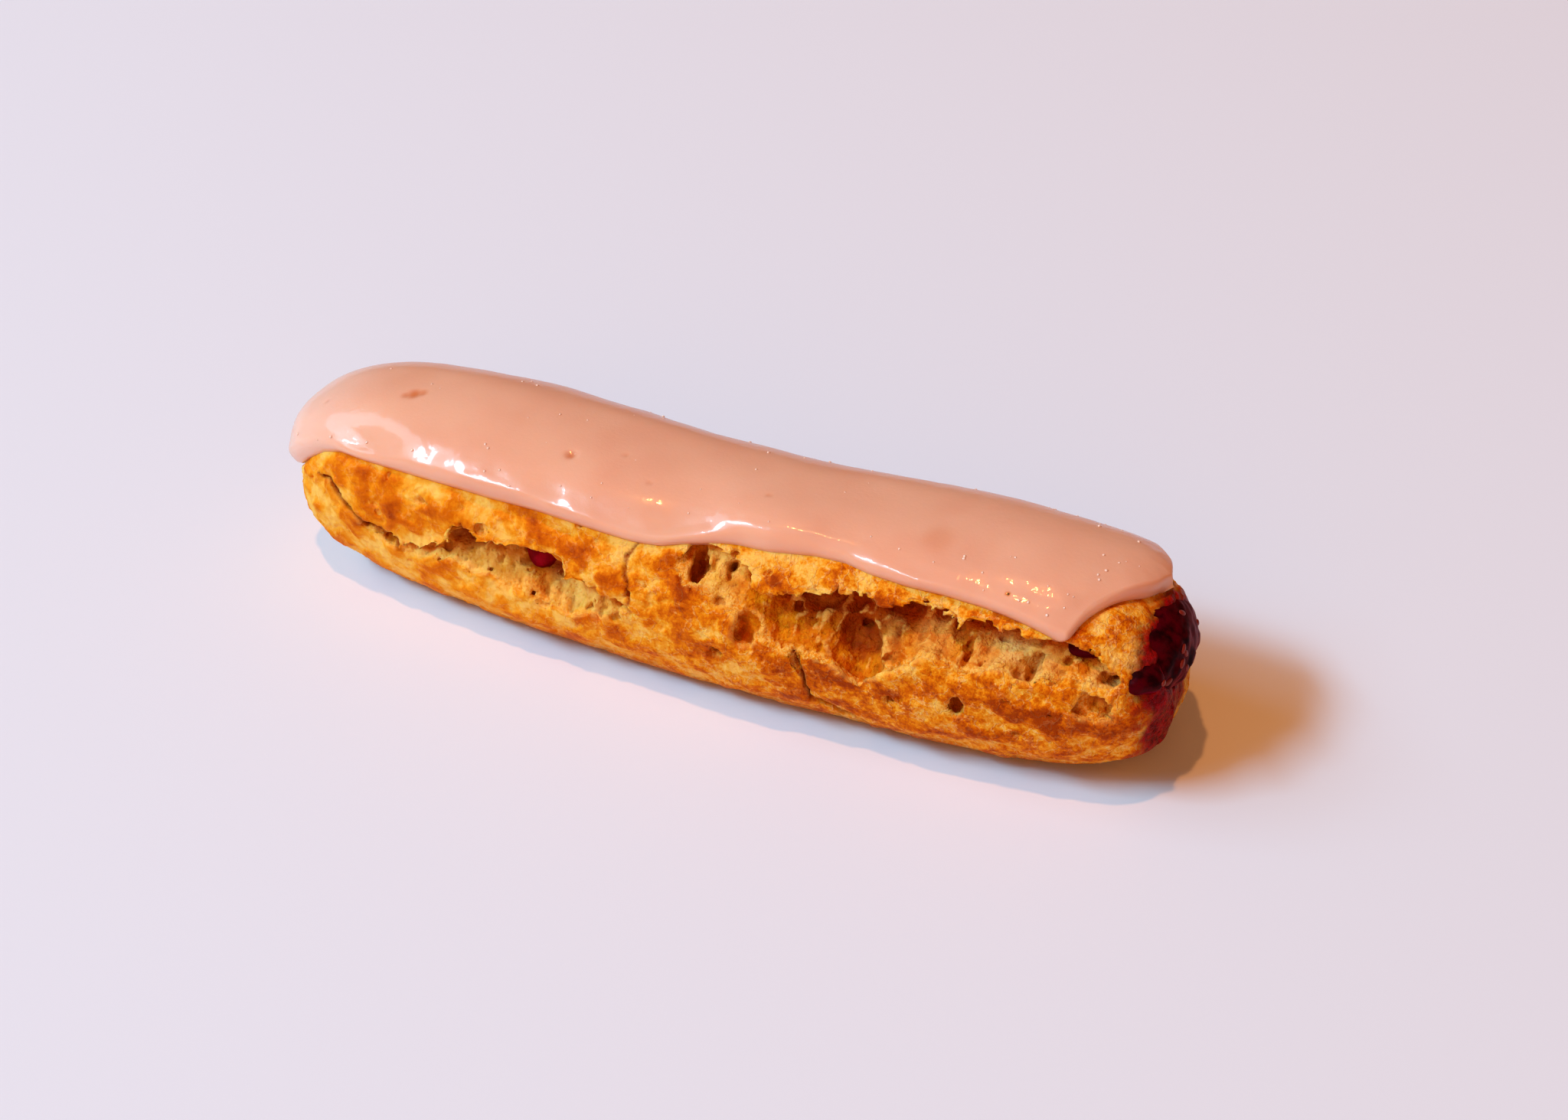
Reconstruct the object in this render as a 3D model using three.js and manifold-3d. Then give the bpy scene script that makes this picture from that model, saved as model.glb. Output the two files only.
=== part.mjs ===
// A raspberry eclair: a long choux bun torn open along its front, pink icing over its top,
// and raspberry jam that runs through the bun, shows in the tear and swells out of the right end.
// Millimetres, +Z up. +X runs to the right end, where the jam comes out, and -Y is the torn front.
// The eclair rests on the flat base of the bun, and the origin is under the middle of it.
import * as THREE from "three";
import { mergeVertices } from "three/addons/utils/BufferGeometryUtils.js";
import { ImprovedNoise } from "three/addons/math/ImprovedNoise.js";
import Module from "manifold-3d";

// Driving dimensions of the bun. Lists run from the left end to the right in even steps.
const LENGTH = 148;
const HALF_WIDTHS = [17.4, 17.4, 17.2, 18.6, 19.6];
const HEIGHTS = [32.4, 32.6, 31.2, 31.8, 33.6];
const SWAYS = [1.6, 0.2, -1.6, -0.4, 0];
const AXIS_SHARE = 0.46; // height of the axis, as a share of the bun's height
const FOOT_REACH = 1.15; // the section would reach this far below the axis if the base weren't flat
const SQUARENESS = 2.3; // 2 is an elliptical section
const LEFT_BLUNTNESS = 3.6; // 2 is an elliptical end
const RIGHT_BLUNTNESS = 4.2;
const RIGHT_END_LEAN = 1.2; // the top of the right end stops short by this much
const LEAN_ONSET = 8; // a higher value keeps the lean nearer the end

// Relief of the baked crust.
const BLISTERS = { size: 8.5, height: 1.5, seed: 3.7, dip: 0.22 };
const RIPPLES = { size: 3.6, height: 0.45, seed: 11.3 };
const RELIEF_FADE = [-8, -1]; // degrees from the icing's edge between which the relief dies away

// Angles are in degrees round the bun's axis: 0 is the front, 90 the top, 180 the back.
// A tear has a lip above and a floor below, listed in even steps, and is deepest under the lip.
const TEARS = [
  {
    from: -67,
    to: -5,
    lip: [13, 12, -3, 0, 13, 17, 11, 10, 6],
    floor: [9, 4, -10, -11, -8, -6, -12, -8, 2],
    depth: 6.5,
  },
  {
    from: -2,
    to: 68,
    lip: [44, 46, 31, 37, 37, 41, 39, 40, 36],
    floor: [30, 20, 5, 4, 11, 19, 18, 22, 27],
    depth: 8,
  },
  {
    from: -52,
    to: 20,
    lip: [186, 176, 181, 178, 184],
    floor: [190, 187, 190, 186, 190],
    depth: 4,
  },
];
const TEAR_UNDERCUT = 2.8; // how far the floor of a tear runs up behind its lip
const TEAR_RAGGEDNESS = 2.6; // how many degrees its edges wander
const TEAR_RAGS = 14; // how often they wander, along the tear

// Hollows left by burst bubbles: middle along the bun, angle, length, height up the side, depth.
const HOLLOWS = {
  left_cave: [-36, 8, 7, 6, 7.5],
  berry_cave: [-22.5, 9, 9, 6.5, 8],
  upright_slot: [2.3, 36, 4, 10, 8],
  pocket: [12, 12, 5, 6.5, 6.5],
  great_cave: [28.5, 19, 9.5, 13, 9.5],
  pale_pocket: [55.5, 26, 7, 7.5, 6],
  jam_pocket: [62.5, 38, 6, 4.5, 8],
  low_pit: [65, 11, 6.5, 5, 3.2],
  square_pit: [45.6, -3, 4, 4.8, 3],
  back_pit: [-30, 184, 7, 5, 5],
  back_slot: [4, 182, 5, 7, 5],
};
const HOLLOW_UNEVENNESS = 0.22;
const HOLLOW_LUMPINESS = 1.7;

// Raspberry filling.
const CORE = { from: -58, to: 68, radius: 6.2, height: 17, bluntness: 6 };
const BULB = { x: 67.2, y: 1.5, z: 20.8, long: 18, wide: 20.5, tall: 14.5 };
const SPILL = { x: 69.4, y: -8.2, z: 20.6, long: 7.5, wide: 7, tall: 6 };
const BERRY = { x: -23, y: -10.6, z: 17.6, long: 9, wide: 10, tall: 8 };
const DRUPELET_SIZE = 3.4;
const DRUPELET_HEIGHT = 0.7;

// Icing. Its edge is the front angle at each place along the bun; the drip hangs from it.
const ICING_THICKNESS = 1.9;
const ICING_ROUNDNESS = 0.42; // 1 is a section like a lens, and 0 like a plank
const ICING_FROM = -LENGTH / 2;
const ICING_TO = 72;
const ICING_FRONT = [
  [-74, 2], [-70, 24], [-65, 36], [-56, 38], [-38, 36], [-14, 38], [-3, 42], [6, 49],
  [24, 50], [36, 46], [50, 44], [58, 42], [61, 50], [66, 62], [72, 84],
];
const ICING_BACK = [
  [-74, 176], [-69, 158], [-60, 145], [-44, 138], [-30, 144], [-12, 137], [4, 142],
  [22, 134], [40, 140], [56, 132], [66, 122], [72, 104],
];
const DRIP = { x: 58.4, width: 4.4, drop: 3 };

const GAP = 0.3; // clearance between pieces that touch
const CLEAR = 2.2; // how far a cutting shape stands out of the crust
const SLIVER = 0.06; // edges shorter than this may be merged by a cut

// Facets round each shape and along it.
const FACETS = {
  bun: [36, 70],
  tear: [8, 30],
  hollow: [8, 7],
  core: [10, 12],
  bulb: [20, 14],
  lump: [10, 8],
  icing: [28, 56],
};
const FRONT_CROWDING = 0.34; // how much closer together the bun's columns stand on the torn front

const noise = new ImprovedNoise();
const wasm = await Module();
wasm.setup();

const HALF_LENGTH = LENGTH / 2;
const { clamp, smoothstep, degToRad, radToDeg, inverseLerp, lerp } = THREE.MathUtils;

// A smooth curve through values in even steps, read at a share from 0 to 1.
function profile(values) {
  const curve = new THREE.SplineCurve(values.map((value, i) => new THREE.Vector2(i, value)));
  return (share) => curve.getPoint(clamp(share, 0, 1)).y;
}

// A line through [place, value] pairs, half straight and half eased between neighbours.
function edge(pairs) {
  return (place) => {
    const next = pairs.findIndex(([at]) => at > place);
    if (next === -1) return pairs[pairs.length - 1][1];
    if (next === 0) return pairs[0][1];
    const [[x0, v0], [x1, v1]] = [pairs[next - 1], pairs[next]];
    return lerp(v0, v1, smoothstep(place, x0, x1) * 0.5 + inverseLerp(x0, x1, place) * 0.5);
  };
}

const halfWidth = profile(HALF_WIDTHS);
const height = profile(HEIGHTS);
const sway = profile(SWAYS);

// The point of the bun's plain surface at a place along it and an angle round it, moved out by grow.
function bunPoint(x, degrees, grow = 0) {
  const t = clamp(x / HALF_LENGTH, -1, 1);
  const share = (t + 1) / 2;
  const blunt = t < 0 ? LEFT_BLUNTNESS : RIGHT_BLUNTNESS;
  const taper = (1 - Math.abs(t) ** blunt) ** (1 / blunt);
  const angle = degToRad(degrees);
  const [outward, upward] = [-Math.cos(angle), Math.sin(angle)];
  const axis = height(share) * AXIS_SHARE;
  const reach = upward > 0 ? height(share) - axis : axis * FOOT_REACH;
  const across = Math.abs(outward) / (halfWidth(share) + grow);
  const along = Math.abs(upward) / (reach + grow);
  const radius = taper / (across ** SQUARENESS + along ** SQUARENESS) ** (1 / SQUARENESS);
  const lean = RIGHT_END_LEAN * Math.max(t, 0) ** LEAN_ONSET * upward;
  return new THREE.Vector3(
    (HALF_LENGTH + grow) * t - lean,
    sway(share) + radius * outward,
    axis + radius * upward,
  );
}

// Turns a length up the bun's side into degrees.
const degreesUp = (length) => radToDeg(length / HALF_WIDTHS[2]);

const icingFront = edge(ICING_FRONT);
const icingBack = edge(ICING_BACK);

function icingFrontWithDrip(x) {
  const off = Math.abs(x - DRIP.x) / DRIP.width;
  return icingFront(x) - DRIP.drop * (1 - smoothstep(off, 0, 1));
}

// 1 on bare crust and 0 under the icing.
function bareness(x, degrees) {
  const turned = ((degrees % 360) + 360) % 360;
  const fromTop = turned > 270 ? turned - 360 : turned;
  const inside = Math.min(fromTop - icingFrontWithDrip(x), icingBack(x) - fromTop);
  return x > ICING_TO ? 1 : 1 - smoothstep(inside, ...RELIEF_FADE);
}

// Height of the crust's blisters and ripples at a point.
function crustRelief(point) {
  const at = ({ size, seed }) => noise.noise(point.x / size, point.y / size + seed, point.z / size);
  const blisters = Math.abs(at(BLISTERS)) - BLISTERS.dip;
  return BLISTERS.height * blisters + RIPPLES.height * at(RIPPLES);
}

// Moves each corner of a geometry by place(corner) and returns it as a solid.
function solid(geometry, place) {
  geometry.deleteAttribute("normal");
  geometry.deleteAttribute("uv");
  const welded = mergeVertices(geometry, 1e-5);
  const position = welded.getAttribute("position");
  const corner = new THREE.Vector3();
  for (let i = 0; i < position.count; i++) {
    const moved = place(corner.fromBufferAttribute(position, i));
    position.setXYZ(i, moved.x, moved.y, moved.z);
  }
  return new wasm.Manifold(
    new wasm.Mesh({
      numProp: 3,
      vertProperties: position.array,
      triVerts: new Uint32Array(welded.index.array),
      tolerance: SLIVER,
    }),
  );
}

// A unit sphere whose poles lie on the X axis.
function ball([around, along]) {
  return new THREE.SphereGeometry(1, around, along).rotateZ(-Math.PI / 2);
}

// The bun before it tore: columns stand closer together on the torn front.
function wholeBun() {
  return solid(ball(FACETS.bun), (unit) => {
    const even = Math.atan2(unit.z, -unit.y);
    const degrees = radToDeg(even - FRONT_CROWDING * Math.sin(even));
    const x = HALF_LENGTH * unit.x;
    const plain = bunPoint(x, degrees);
    const relief = crustRelief(plain) * bareness(x, degrees);
    return bunPoint(x, degrees, relief);
  });
}

// The space of a tear: a long lens along the crust that undercuts its lip.
function tearSpace({ from, to, lip, floor, depth }) {
  const lipAngle = profile(lip);
  const floorAngle = profile(floor);
  return solid(ball(FACETS.tear), (unit) => {
    const share = (unit.x + 1) / 2;
    const blunt = Math.hypot(unit.y, unit.z) ** -0.5; // keeps the lens open towards its ends
    const middle = (lipAngle(share) + floorAngle(share)) / 2;
    const opening = (lipAngle(share) - floorAngle(share)) / 2;
    const ragged = TEAR_RAGGEDNESS * unit.z * noise.noise(unit.x * TEAR_RAGS, unit.z, from);
    const undercut = Math.sign(opening) * degreesUp(TEAR_UNDERCUT) * Math.max(unit.y, 0);
    const degrees = middle + (Math.abs(opening) * unit.z + ragged + undercut) * blunt;
    const sunk = unit.y > 0 ? depth * unit.y * blunt : CLEAR * unit.y;
    return bunPoint(lerp(from, to, share), degrees, -sunk);
  });
}

// The space of one burst bubble: a bowl with an uneven rim.
function hollowSpace([x, degrees, length, tall, depth]) {
  return solid(ball(FACETS.hollow), (unit) => {
    const at = unit.clone().multiplyScalar(HOLLOW_LUMPINESS);
    const uneven = 1 + HOLLOW_UNEVENNESS * noise.noise(at.x + x, at.y, at.z);
    const sunk = unit.y > 0 ? depth * unit.y : CLEAR * unit.y;
    return bunPoint(
      x + (length / 2) * unit.x * uneven,
      degrees + degreesUp((tall / 2) * unit.z * uneven),
      -sunk,
    );
  });
}

// A lump of the filling with drupelets on it.
function lump({ x, y, z, long, wide, tall }, facets, grow) {
  return solid(ball(facets), (unit) => {
    const at = unit.clone().multiply(new THREE.Vector3(long, wide, tall).multiplyScalar(0.5));
    const size = DRUPELET_SIZE;
    const bumps = Math.abs(noise.noise((at.x + x) / size, at.y / size, at.z / size));
    const swell = DRUPELET_HEIGHT * bumps + grow;
    return at.addScaledVector(unit, swell).add(new THREE.Vector3(x, y, z));
  });
}

// The jam: a core through the bun, the bulb that swells out of its right end with a spill beside
// it, and the berry that shows in the left tear.
function filling(grow = 0) {
  const { from, to, radius, height: rise, bluntness } = CORE;
  const core = solid(ball(FACETS.core), (unit) => {
    const x = lerp(from - grow, to + grow, (unit.x + 1) / 2);
    const taper = Math.max(1 - Math.abs(unit.x) ** bluntness, 0) ** (1 / bluntness);
    const side = Math.hypot(unit.y, unit.z) || 1;
    const reach = (taper * (radius + grow)) / side;
    const middle = sway((x / HALF_LENGTH + 1) / 2);
    return new THREE.Vector3(x, middle + reach * unit.y, rise + reach * unit.z);
  });
  return core
    .add(lump(BULB, FACETS.bulb, grow))
    .add(lump(SPILL, FACETS.lump, grow))
    .add(lump(BERRY, FACETS.lump, grow));
}

// The icing: the upper half of the ball is its outer face, the lower half the face on the crust.
function icing(grow = 0) {
  return solid(ball(FACETS.icing), (unit) => {
    const x = lerp(ICING_FROM - grow, ICING_TO + grow, (unit.x + 1) / 2);
    const side = Math.hypot(unit.y, unit.z) || 1;
    const front = icingFrontWithDrip(x) - degreesUp(grow);
    const back = icingBack(x) + degreesUp(grow);
    const degrees = lerp(front, back, (1 + unit.y / side) / 2);
    const face = unit.z > 0 ? ICING_THICKNESS * unit.z ** ICING_ROUNDNESS + grow : -grow;
    return bunPoint(x, degrees, GAP + face);
  });
}

function bun() {
  const below = new THREE.BoxGeometry(LENGTH * 1.2, LENGTH / 2, 40).translate(0, 0, -20);
  let body = wholeBun().subtract(solid(below, (corner) => corner));
  for (const tear of TEARS) body = body.subtract(tearSpace(tear));
  for (const hollow of Object.values(HOLLOWS)) body = body.subtract(hollowSpace(hollow));
  body = body.subtract(filling(GAP));
  const pieces = body.decompose().sort((a, b) => b.volume() - a.volume());
  return pieces[0];
}

function mesh(name, shape, color, roughness) {
  const { vertProperties, triVerts } = shape.getMesh();
  const geometry = new THREE.BufferGeometry()
    .setAttribute("position", new THREE.BufferAttribute(vertProperties, 3))
    .setIndex(new THREE.BufferAttribute(triVerts, 1));
  geometry.computeVertexNormals();
  const material = new THREE.MeshStandardMaterial({ color, roughness, metalness: 0 });
  const made = new THREE.Mesh(geometry, material);
  made.name = name;
  return made;
}

const eclair = new THREE.Group();
eclair.add(mesh("choux_bun", bun(), "#d98b35", 0.55));
eclair.add(mesh("pink_icing", icing(), "#e6a78a", 0.2));
eclair.add(mesh("raspberry_filling", filling().subtract(icing(GAP)), "#5c0d1e", 0.25));

// The origin is under the middle of the finished eclair.
const middle = new THREE.Box3().setFromObject(eclair).getCenter(new THREE.Vector3());
for (const piece of eclair.children) piece.position.set(-middle.x, -middle.y, 0);

export default eclair;
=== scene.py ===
# The raspberry eclair's looks: a torn choux bun, glossy pink icing and wet raspberry jam.
import math

import bpy
import numpy as np
import openvdb
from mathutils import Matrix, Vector, kdtree


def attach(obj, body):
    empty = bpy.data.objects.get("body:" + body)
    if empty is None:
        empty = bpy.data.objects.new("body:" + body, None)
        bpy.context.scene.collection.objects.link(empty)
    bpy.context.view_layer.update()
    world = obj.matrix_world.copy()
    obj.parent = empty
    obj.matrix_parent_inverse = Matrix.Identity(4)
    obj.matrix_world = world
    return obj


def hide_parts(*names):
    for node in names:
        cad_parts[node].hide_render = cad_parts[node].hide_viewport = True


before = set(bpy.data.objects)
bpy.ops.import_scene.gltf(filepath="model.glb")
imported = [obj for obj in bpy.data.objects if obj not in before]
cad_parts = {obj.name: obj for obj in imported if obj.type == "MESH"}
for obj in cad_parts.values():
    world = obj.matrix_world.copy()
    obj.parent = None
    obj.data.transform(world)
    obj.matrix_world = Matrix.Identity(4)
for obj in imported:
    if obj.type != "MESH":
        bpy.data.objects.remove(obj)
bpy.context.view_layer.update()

# Shapes are worked out in millimetres, measured from the middle of the bun's length, with +X to
# the right end and -Y to the torn front. They become metres as the meshes are made.
MM = 0.001
BUN_MIDDLE = np.array([-0.82, 0.48, 0.0])

# The bun's plain form: half widths, heights and sways to the side, from its left end to its right
# in even steps. Then the share of its height where its axis lies, how far its foot reaches, how
# square it is across and how blunt at its ends, and how the right end leans and the left shrinks.
HALF_LENGTH = 74.0
HALF_WIDTHS = [17.4, 17.4, 17.2, 18.6, 19.6]
HEIGHTS = [32.4, 32.6, 31.2, 31.8, 33.6]
SWAYS = [1.6, 0.2, -1.6, -0.4, 0.0]
AXIS_SHARE = 0.46
FOOT_REACH = 1.15
SQUARENESS = 2.3
LEFT_BLUNTNESS = 3.6
RIGHT_BLUNTNESS = 4.2
RIGHT_END_LEAN = 1.2
LEAN_ONSET = 8
LEFT_END_SHRINK = 1.1
SIDE_RADIUS = 17.2
MM_PER_DEGREE = math.radians(SIDE_RADIUS)

# Fineness of the sculpted crust and jam, and the room left round the bun in its grid.
CRUST_GRAIN = 0.37
JAM_GRAIN = 0.34
MARGIN = 3.0

# The most triangles that the crust keeps, and the share kept where it is covered or at the back.
CRUST_TRIANGLES = 192000
HIDDEN_SHARE = 0.12

# How torn crust is roughed up: feature size, reach and seed of each layer.
ROUGH_LAYERS = [(4.4, 0.7, 61), (1.8, 0.32, 71), (0.9, 0.14, 81)]

# Heights of the skin's and the crumb's relief.
BLISTER_HEIGHT = 0.34
BLISTER_RIM_HEIGHT = 0.05
SCORCH_HEIGHT = 0.35
WRINKLE_HEIGHT = 0.35
CRUMB_FOLD_HEIGHT = 0.42
CRUMB_WALL_HEIGHT = 0.22

# Angles are in degrees round the bun's axis: 0 is the front, 90 the top, 180 the back. Each tear has
# places along the bun, the angles of its lip and its floor there, and how deep its crumb slopes in.
# Undercut is how far the lip hangs over, and teeth say how ragged the floor line is.
LEFT_TEAR = {
    "places": [-50, -46, -42, -39.5, -37, -34, -31, -28.5, -25, -22, -18.5, -13, -9, -5],
    "lip": [-3, -5, 2, 6, 15, 10, 13, 18, 15, 11, 7, 8, 6, 4],
    "floor": [-9, -10, -8, -6, -5, -6, -8, -11, -12, -12, -12, -9, -4, 2],
    "depth": [2, 2.5, 3.5, 4.5, 5.5, 5, 4.5, 4.5, 5.5, 5, 4, 3.5, 3, 2],
    "undercut": 1.8,
    "teeth": 1.6,
    "bubbles": 30,
    "seed": 5,
}
RIGHT_TEAR = {
    "places": [-2, 1, 4, 8, 11, 13, 17, 20, 24, 28, 33, 38, 43, 44.5, 46, 49, 55, 60, 64, 68],
    "lip": [44, 44, 46, 45, 40, 33, 31, 34, 38, 38, 37, 41, 41, 35, 41, 41, 38, 40, 39, 34],
    "floor": [36, 24, 24, 20, 16, 7, 5, 4, 4, 5, 9, 15, 20, 20, 20, 20, 18, 22, 22, 26],
    "depth": [1.5, 1.5, 1.6, 2.2, 3, 3.6, 5, 6, 6.6, 7, 6.6, 6.2, 6, 6, 5.6, 5.2, 4.6, 4, 3.6, 3],
    "undercut": 2.4,
    "teeth": 0.8,
    "bubbles": 60,
    "seed": 25,
}
BACK_TEAR = {
    "places": [-52, -34, -16, 2, 20],
    "lip": [186, 176, 181, 178, 184],
    "floor": [190, 187, 190, 186, 190],
    "depth": [2, 4, 4, 4, 2],
    "undercut": 1.5,
    "teeth": 0.8,
    "bubbles": 24,
    "seed": 45,
}
TEARS = [LEFT_TEAR, RIGHT_TEAR, BACK_TEAR]
SKIN_PORES = 60

# Hollows: middle along the bun, angle, length, height up the side, depth, and how much painted red-brown
# shade their deep walls get.
# Each takes its noise seed from its place in the list.
FIRST_HOLLOW_SEED = 600
HOLLOWS = {
    "left_cave": [-37, 9, 6, 6.5, 7.5, 0.8],
    "berry_cave": [-24, 9, 8.5, 6.5, 8, 0.5],
    "upright_slot": [2.4, 38, 3.3, 8.0, 5.0, 0.8],
    "thin_slit": [7.6, 41, 1.4, 4, 5, 0.6],
    "pocket": [12, 12, 4.4, 6, 2.6, 0.15],
    "round_hole": [19, 27, 3.2, 3.4, 6, 0.5],
    "great_cave": [28.5, 20, 9.6, 12, 8.5, 0.6],
    "orange_bowl": [35.5, 14, 5, 3.6, 2.6, 0.0],
    "slit": [35, 26, 1.6, 3.6, 4, 0.8],
    "tall_slot": [46, 30, 2.2, 6.5, 6, 0.3],
    "pale_pocket": [55.5, 27, 4, 6, 4.5, 0.3],
    "jam_pocket": [62.4, 38, 4.4, 2.4, 4, 1.0],
    "rim_pit": [67, 27, 3.4, 3, 4, 0.3],
    "low_pit": [65.3, 10.5, 6.2, 4.4, 1.7, 0.15],
    "square_pit": [45.6, -3, 3, 4.4, 2.8, 0.5],
    "small_pit": [35, -10, 2.2, 2, 2, 0.5],
    "corner_pit": [7, -6, 2, 2.4, 1.8, 0.6],
    "crease_pit": [-61.5, 11, 1.8, 1.4, 1.8, 0.2],
    "crease_slot": [-56, -2.5, 3.6, 1.7, 2.8, 0.7],
    "crease_end": [-51.6, -6.5, 3.8, 2.6, 3.6, 0.8],
    "back_pit": [-30, 184, 7, 5, 5, 0.2],
    "back_slot": [4, 182, 5, 7, 5, 0.2],
    "berry_hole": [-21.6, 3.5, 3.4, 2.6, 5, 0.9],
}

# The mouth that the jam swells out of and the pit beside it: middle and radii.
MOUTH = [[76.0, 0.6, 21.8], [5.6, 9.8, 8.0]]
SPILL_PIT = [[72.8, -9.8, 21.4], [2.4, 3.0, 2.2]]

# Patches of crust that raspberry juice has soaked: middle and radii.
JUICE_PATCHES = [
    [[73.5, -1.5, 21.0], [6.0, 12.0, 9.5]],
    [[75.0, -5.5, 12.5], [5.4, 8.5, 10.5]],
]

# Cracks in the crust, as places along the bun and angles, with half their width and their depth.
CRACKS = [
    ([(19.6, 5), (21.3, -2), (21.9, -11), (22.4, -22), (25.2, -27), (30.6, -32.5), (33.8, -42.5)],
     0.46, 2.2),
    ([(33.8, -42.5), (42.3, -44), (50.5, -45.5), (55.4, -44)], 0.45, 1.6),
    ([(-66, 22), (-64, 20), (-60.9, 10), (-57, 0.5), (-52.2, -4), (-49.6, -9.5)], 0.42, 1.8),
    ([(-7, 41), (-8.7, 32.5), (-8, 20), (-7.6, 8)], 0.24, 0.7),
    ([(-36.9, 13), (-37.4, 22)], 0.35, 1.2),
]

# Places where the crust is smooth and browned darkest: along, angle, length, height up the side, share.
SCORCHES = [
    [-53.5, 20, 15, 10, 0.8],
    [-41, 25, 8, 5, 0.45],
    [-26, 36, 16, 4, 0.4],
    [-23.5, 27, 9, 4, 0.45],
    [-15.5, 22, 9, 5, 0.55],
    [-0.5, 26, 6, 6, 0.5],
    [2.5, -7, 10, 4, 0.4],
    [18, 42, 9, 3, 0.7],
    [24, 44, 7, 3, 0.5],
    [34, 42, 9, 2.6, 0.6],
    [19, -8, 8, 3.6, 0.5],
    [27, 0, 10, 4, 0.6],
    [49.5, 5, 9, 4, 0.7],
    [58, 0, 8, 8, 1.0],
    [65.5, 0, 7, 6, 1.0],
    [71, 7, 7, 6, 0.7],
    [50.5, -14, 9, 4, 0.6],
]

# Crumb that stayed pale: along, angle, length, height up the side, share.
PALE_CRUMB = [
    [-38, -4, 16, 7, 0.75],
    [-30, 4, 7, 6, 0.8],
    [-17, -3, 13, 6, 0.85],
    [6.2, 36, 6, 10, 0.8],
    [22, 33, 6, 3, 0.4],
    [33.6, 21, 4, 7, 0.4],
    [40.5, 27, 7, 7, 0.3],
    [54, 29, 11, 9, 0.9],
    [67, 24, 5, 7, 0.8],
]

# The icing: its edges as places along the bun and angles, its thickness and its rounded rim.
ICING_LEFT = -74.0
ICING_RIGHT = 70.4
ICING_FRONT = [
    [-74, 3], [-73.2, 12], [-71.5, 20], [-69, 29], [-65.5, 37], [-62, 39.6], [-57, 38.6], [-45, 38.4],
    [-33, 38.6], [-25, 39.8], [-14, 39.8], [-8, 40], [-3.6, 41.8], [0, 46], [5, 50.5], [8, 52], [13, 52],
    [20, 55], [25, 54.6], [29, 51.8], [35, 49.8], [41, 49.6], [47, 48.4], [50.5, 47], [54, 45], [57, 42.8],
    [59.6, 40.4], [60.4, 42], [61, 49], [62, 55], [63.4, 62], [65.2, 70], [67, 77.5], [68.8, 85],
    [70, 95], [70.4, 106],
]
ICING_BACK = [
    [-74, 176], [-69, 158], [-60, 147], [-44, 142], [-30, 147], [-12, 143], [4, 147], [22, 141],
    [40, 146], [56, 141], [65, 136], [69.4, 122], [70.4, 106],
]
ICING_THICKNESS = 1.95
ICING_TUCK = 0.4
RIM_WIDTHS = [[-30, 2.2], [-12, 1.6], [0, 2.8], [8, 3.2], [26, 3.2], [36, 1.3], [56, 1.2], [61, 2.2]]
RIM_ROUNDNESS = 2.3

# Unevenness beside the icing's rim: height, distance from the edge and width of its band.
RIM_SWELL, SWELL_FROM_EDGE, SWELL_BAND = 0.4, 3.0, 2.0
RIM_RIPPLE, RIPPLE_FROM_EDGE, RIPPLE_BAND = 0.13, 3.4, 2.6
RIM_SAG, SAG_BAND = 0.16, (6.5, 1.5)

# Soft swells and dips in the icing that shape its gleams: along, angle, radius, height.
ICING_SWELLS = [
    [-72, 54, 9, 0.7],
    [-57, 45, 5, -0.8],
    [-46, 46, 4, 0.4],
    [-36, 46, 5, 0.7],
    [-28, 46, 5, 0.5],
    [-18, 46, 5, 0.3],
    [-1, 57, 7, -1.15],
    [16, 54, 8, 0.5],
    [8, 74, 8, 0.85],
    [46, 50, 5, -0.2],
    [52, 84, 9, 0.7],
]

# The icing's shoulder above its right end: height, place, reach and the angles that it rises over.
RIGHT_SHOULDER, SHOULDER_ALONG, SHOULDER_REACH, SHOULDER_ANGLES = 0.9, 66, 7, (62, 84)

# Where the icing thins towards its left end and by what share, how soft its outline's corners are,
# and how many rings its mesh has, with corners over and under each.
LEFT_THIN_FROM = -60.0
LEFT_THIN_SHARE = 0.35
EDGE_SOFTNESS = 0.7
ICING_RINGS = 460
ICING_ACROSS = 150
ICING_UNDER = 14

# Most bubbles in the icing lie near its rim and round a place on its right.
BUBBLES_FROM_EDGE, BUBBLE_BAND = 4.5, 2.5
BUBBLES_ALONG, BUBBLE_PATCH = 54, 8

# Marks on the icing: along, angle, radius, depth, and how much crust shows through.
ICING_MARKS = [
    [-51.6, 82.5, 1.1, 0.2, 0.9],
    [-50.4, 84.5, 0.8, 0.12, 0.7],
    [-52.7, 80.5, 0.7, 0.1, 0.6],
    [-21.7, 70.5, 0.75, 0.45, 0.8],
    [-13.9, 80.5, 0.4, 0.15, 0.3],
    [-8.2, 69.5, 0.4, 0.15, 0.3],
    [9.9, 78.0, 0.4, 0.12, 0.4],
    [36.4, 75.5, 2.4, 0.0, 0.3],
    [-66.0, 70.0, 0.4, 0.1, 0.2],
    [49.2, 56.0, 0.3, 0.0, 2.0],
]

# The jam: its plain core, and each lump's middle, sizes along X, Y and Z, the radius and number of
# its knobs, and its seed.
CORE_FROM, CORE_TO, CORE_RADIUS, CORE_HEIGHT = -58.0, 68.0, 5.6, 17.0
JAM_LUMPS = {
    "bulb": [[69.4, 0.2, 20.2], [14.0, 20.6, 15.0], 1.9, 46, 501],
    "spill": [[71.0, -9.0, 21.2], [6.2, 7.0, 5.4], 1.3, 16, 502],
    "berry": [[-25.6, -9.2, 17.0], [8.0, 9.6, 7.0], 1.5, 34, 503],
    "pocket": [[62.5, -9.4, 24.4], [6.4, 5.4, 4.2], 1.2, 12, 504],
}

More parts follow.
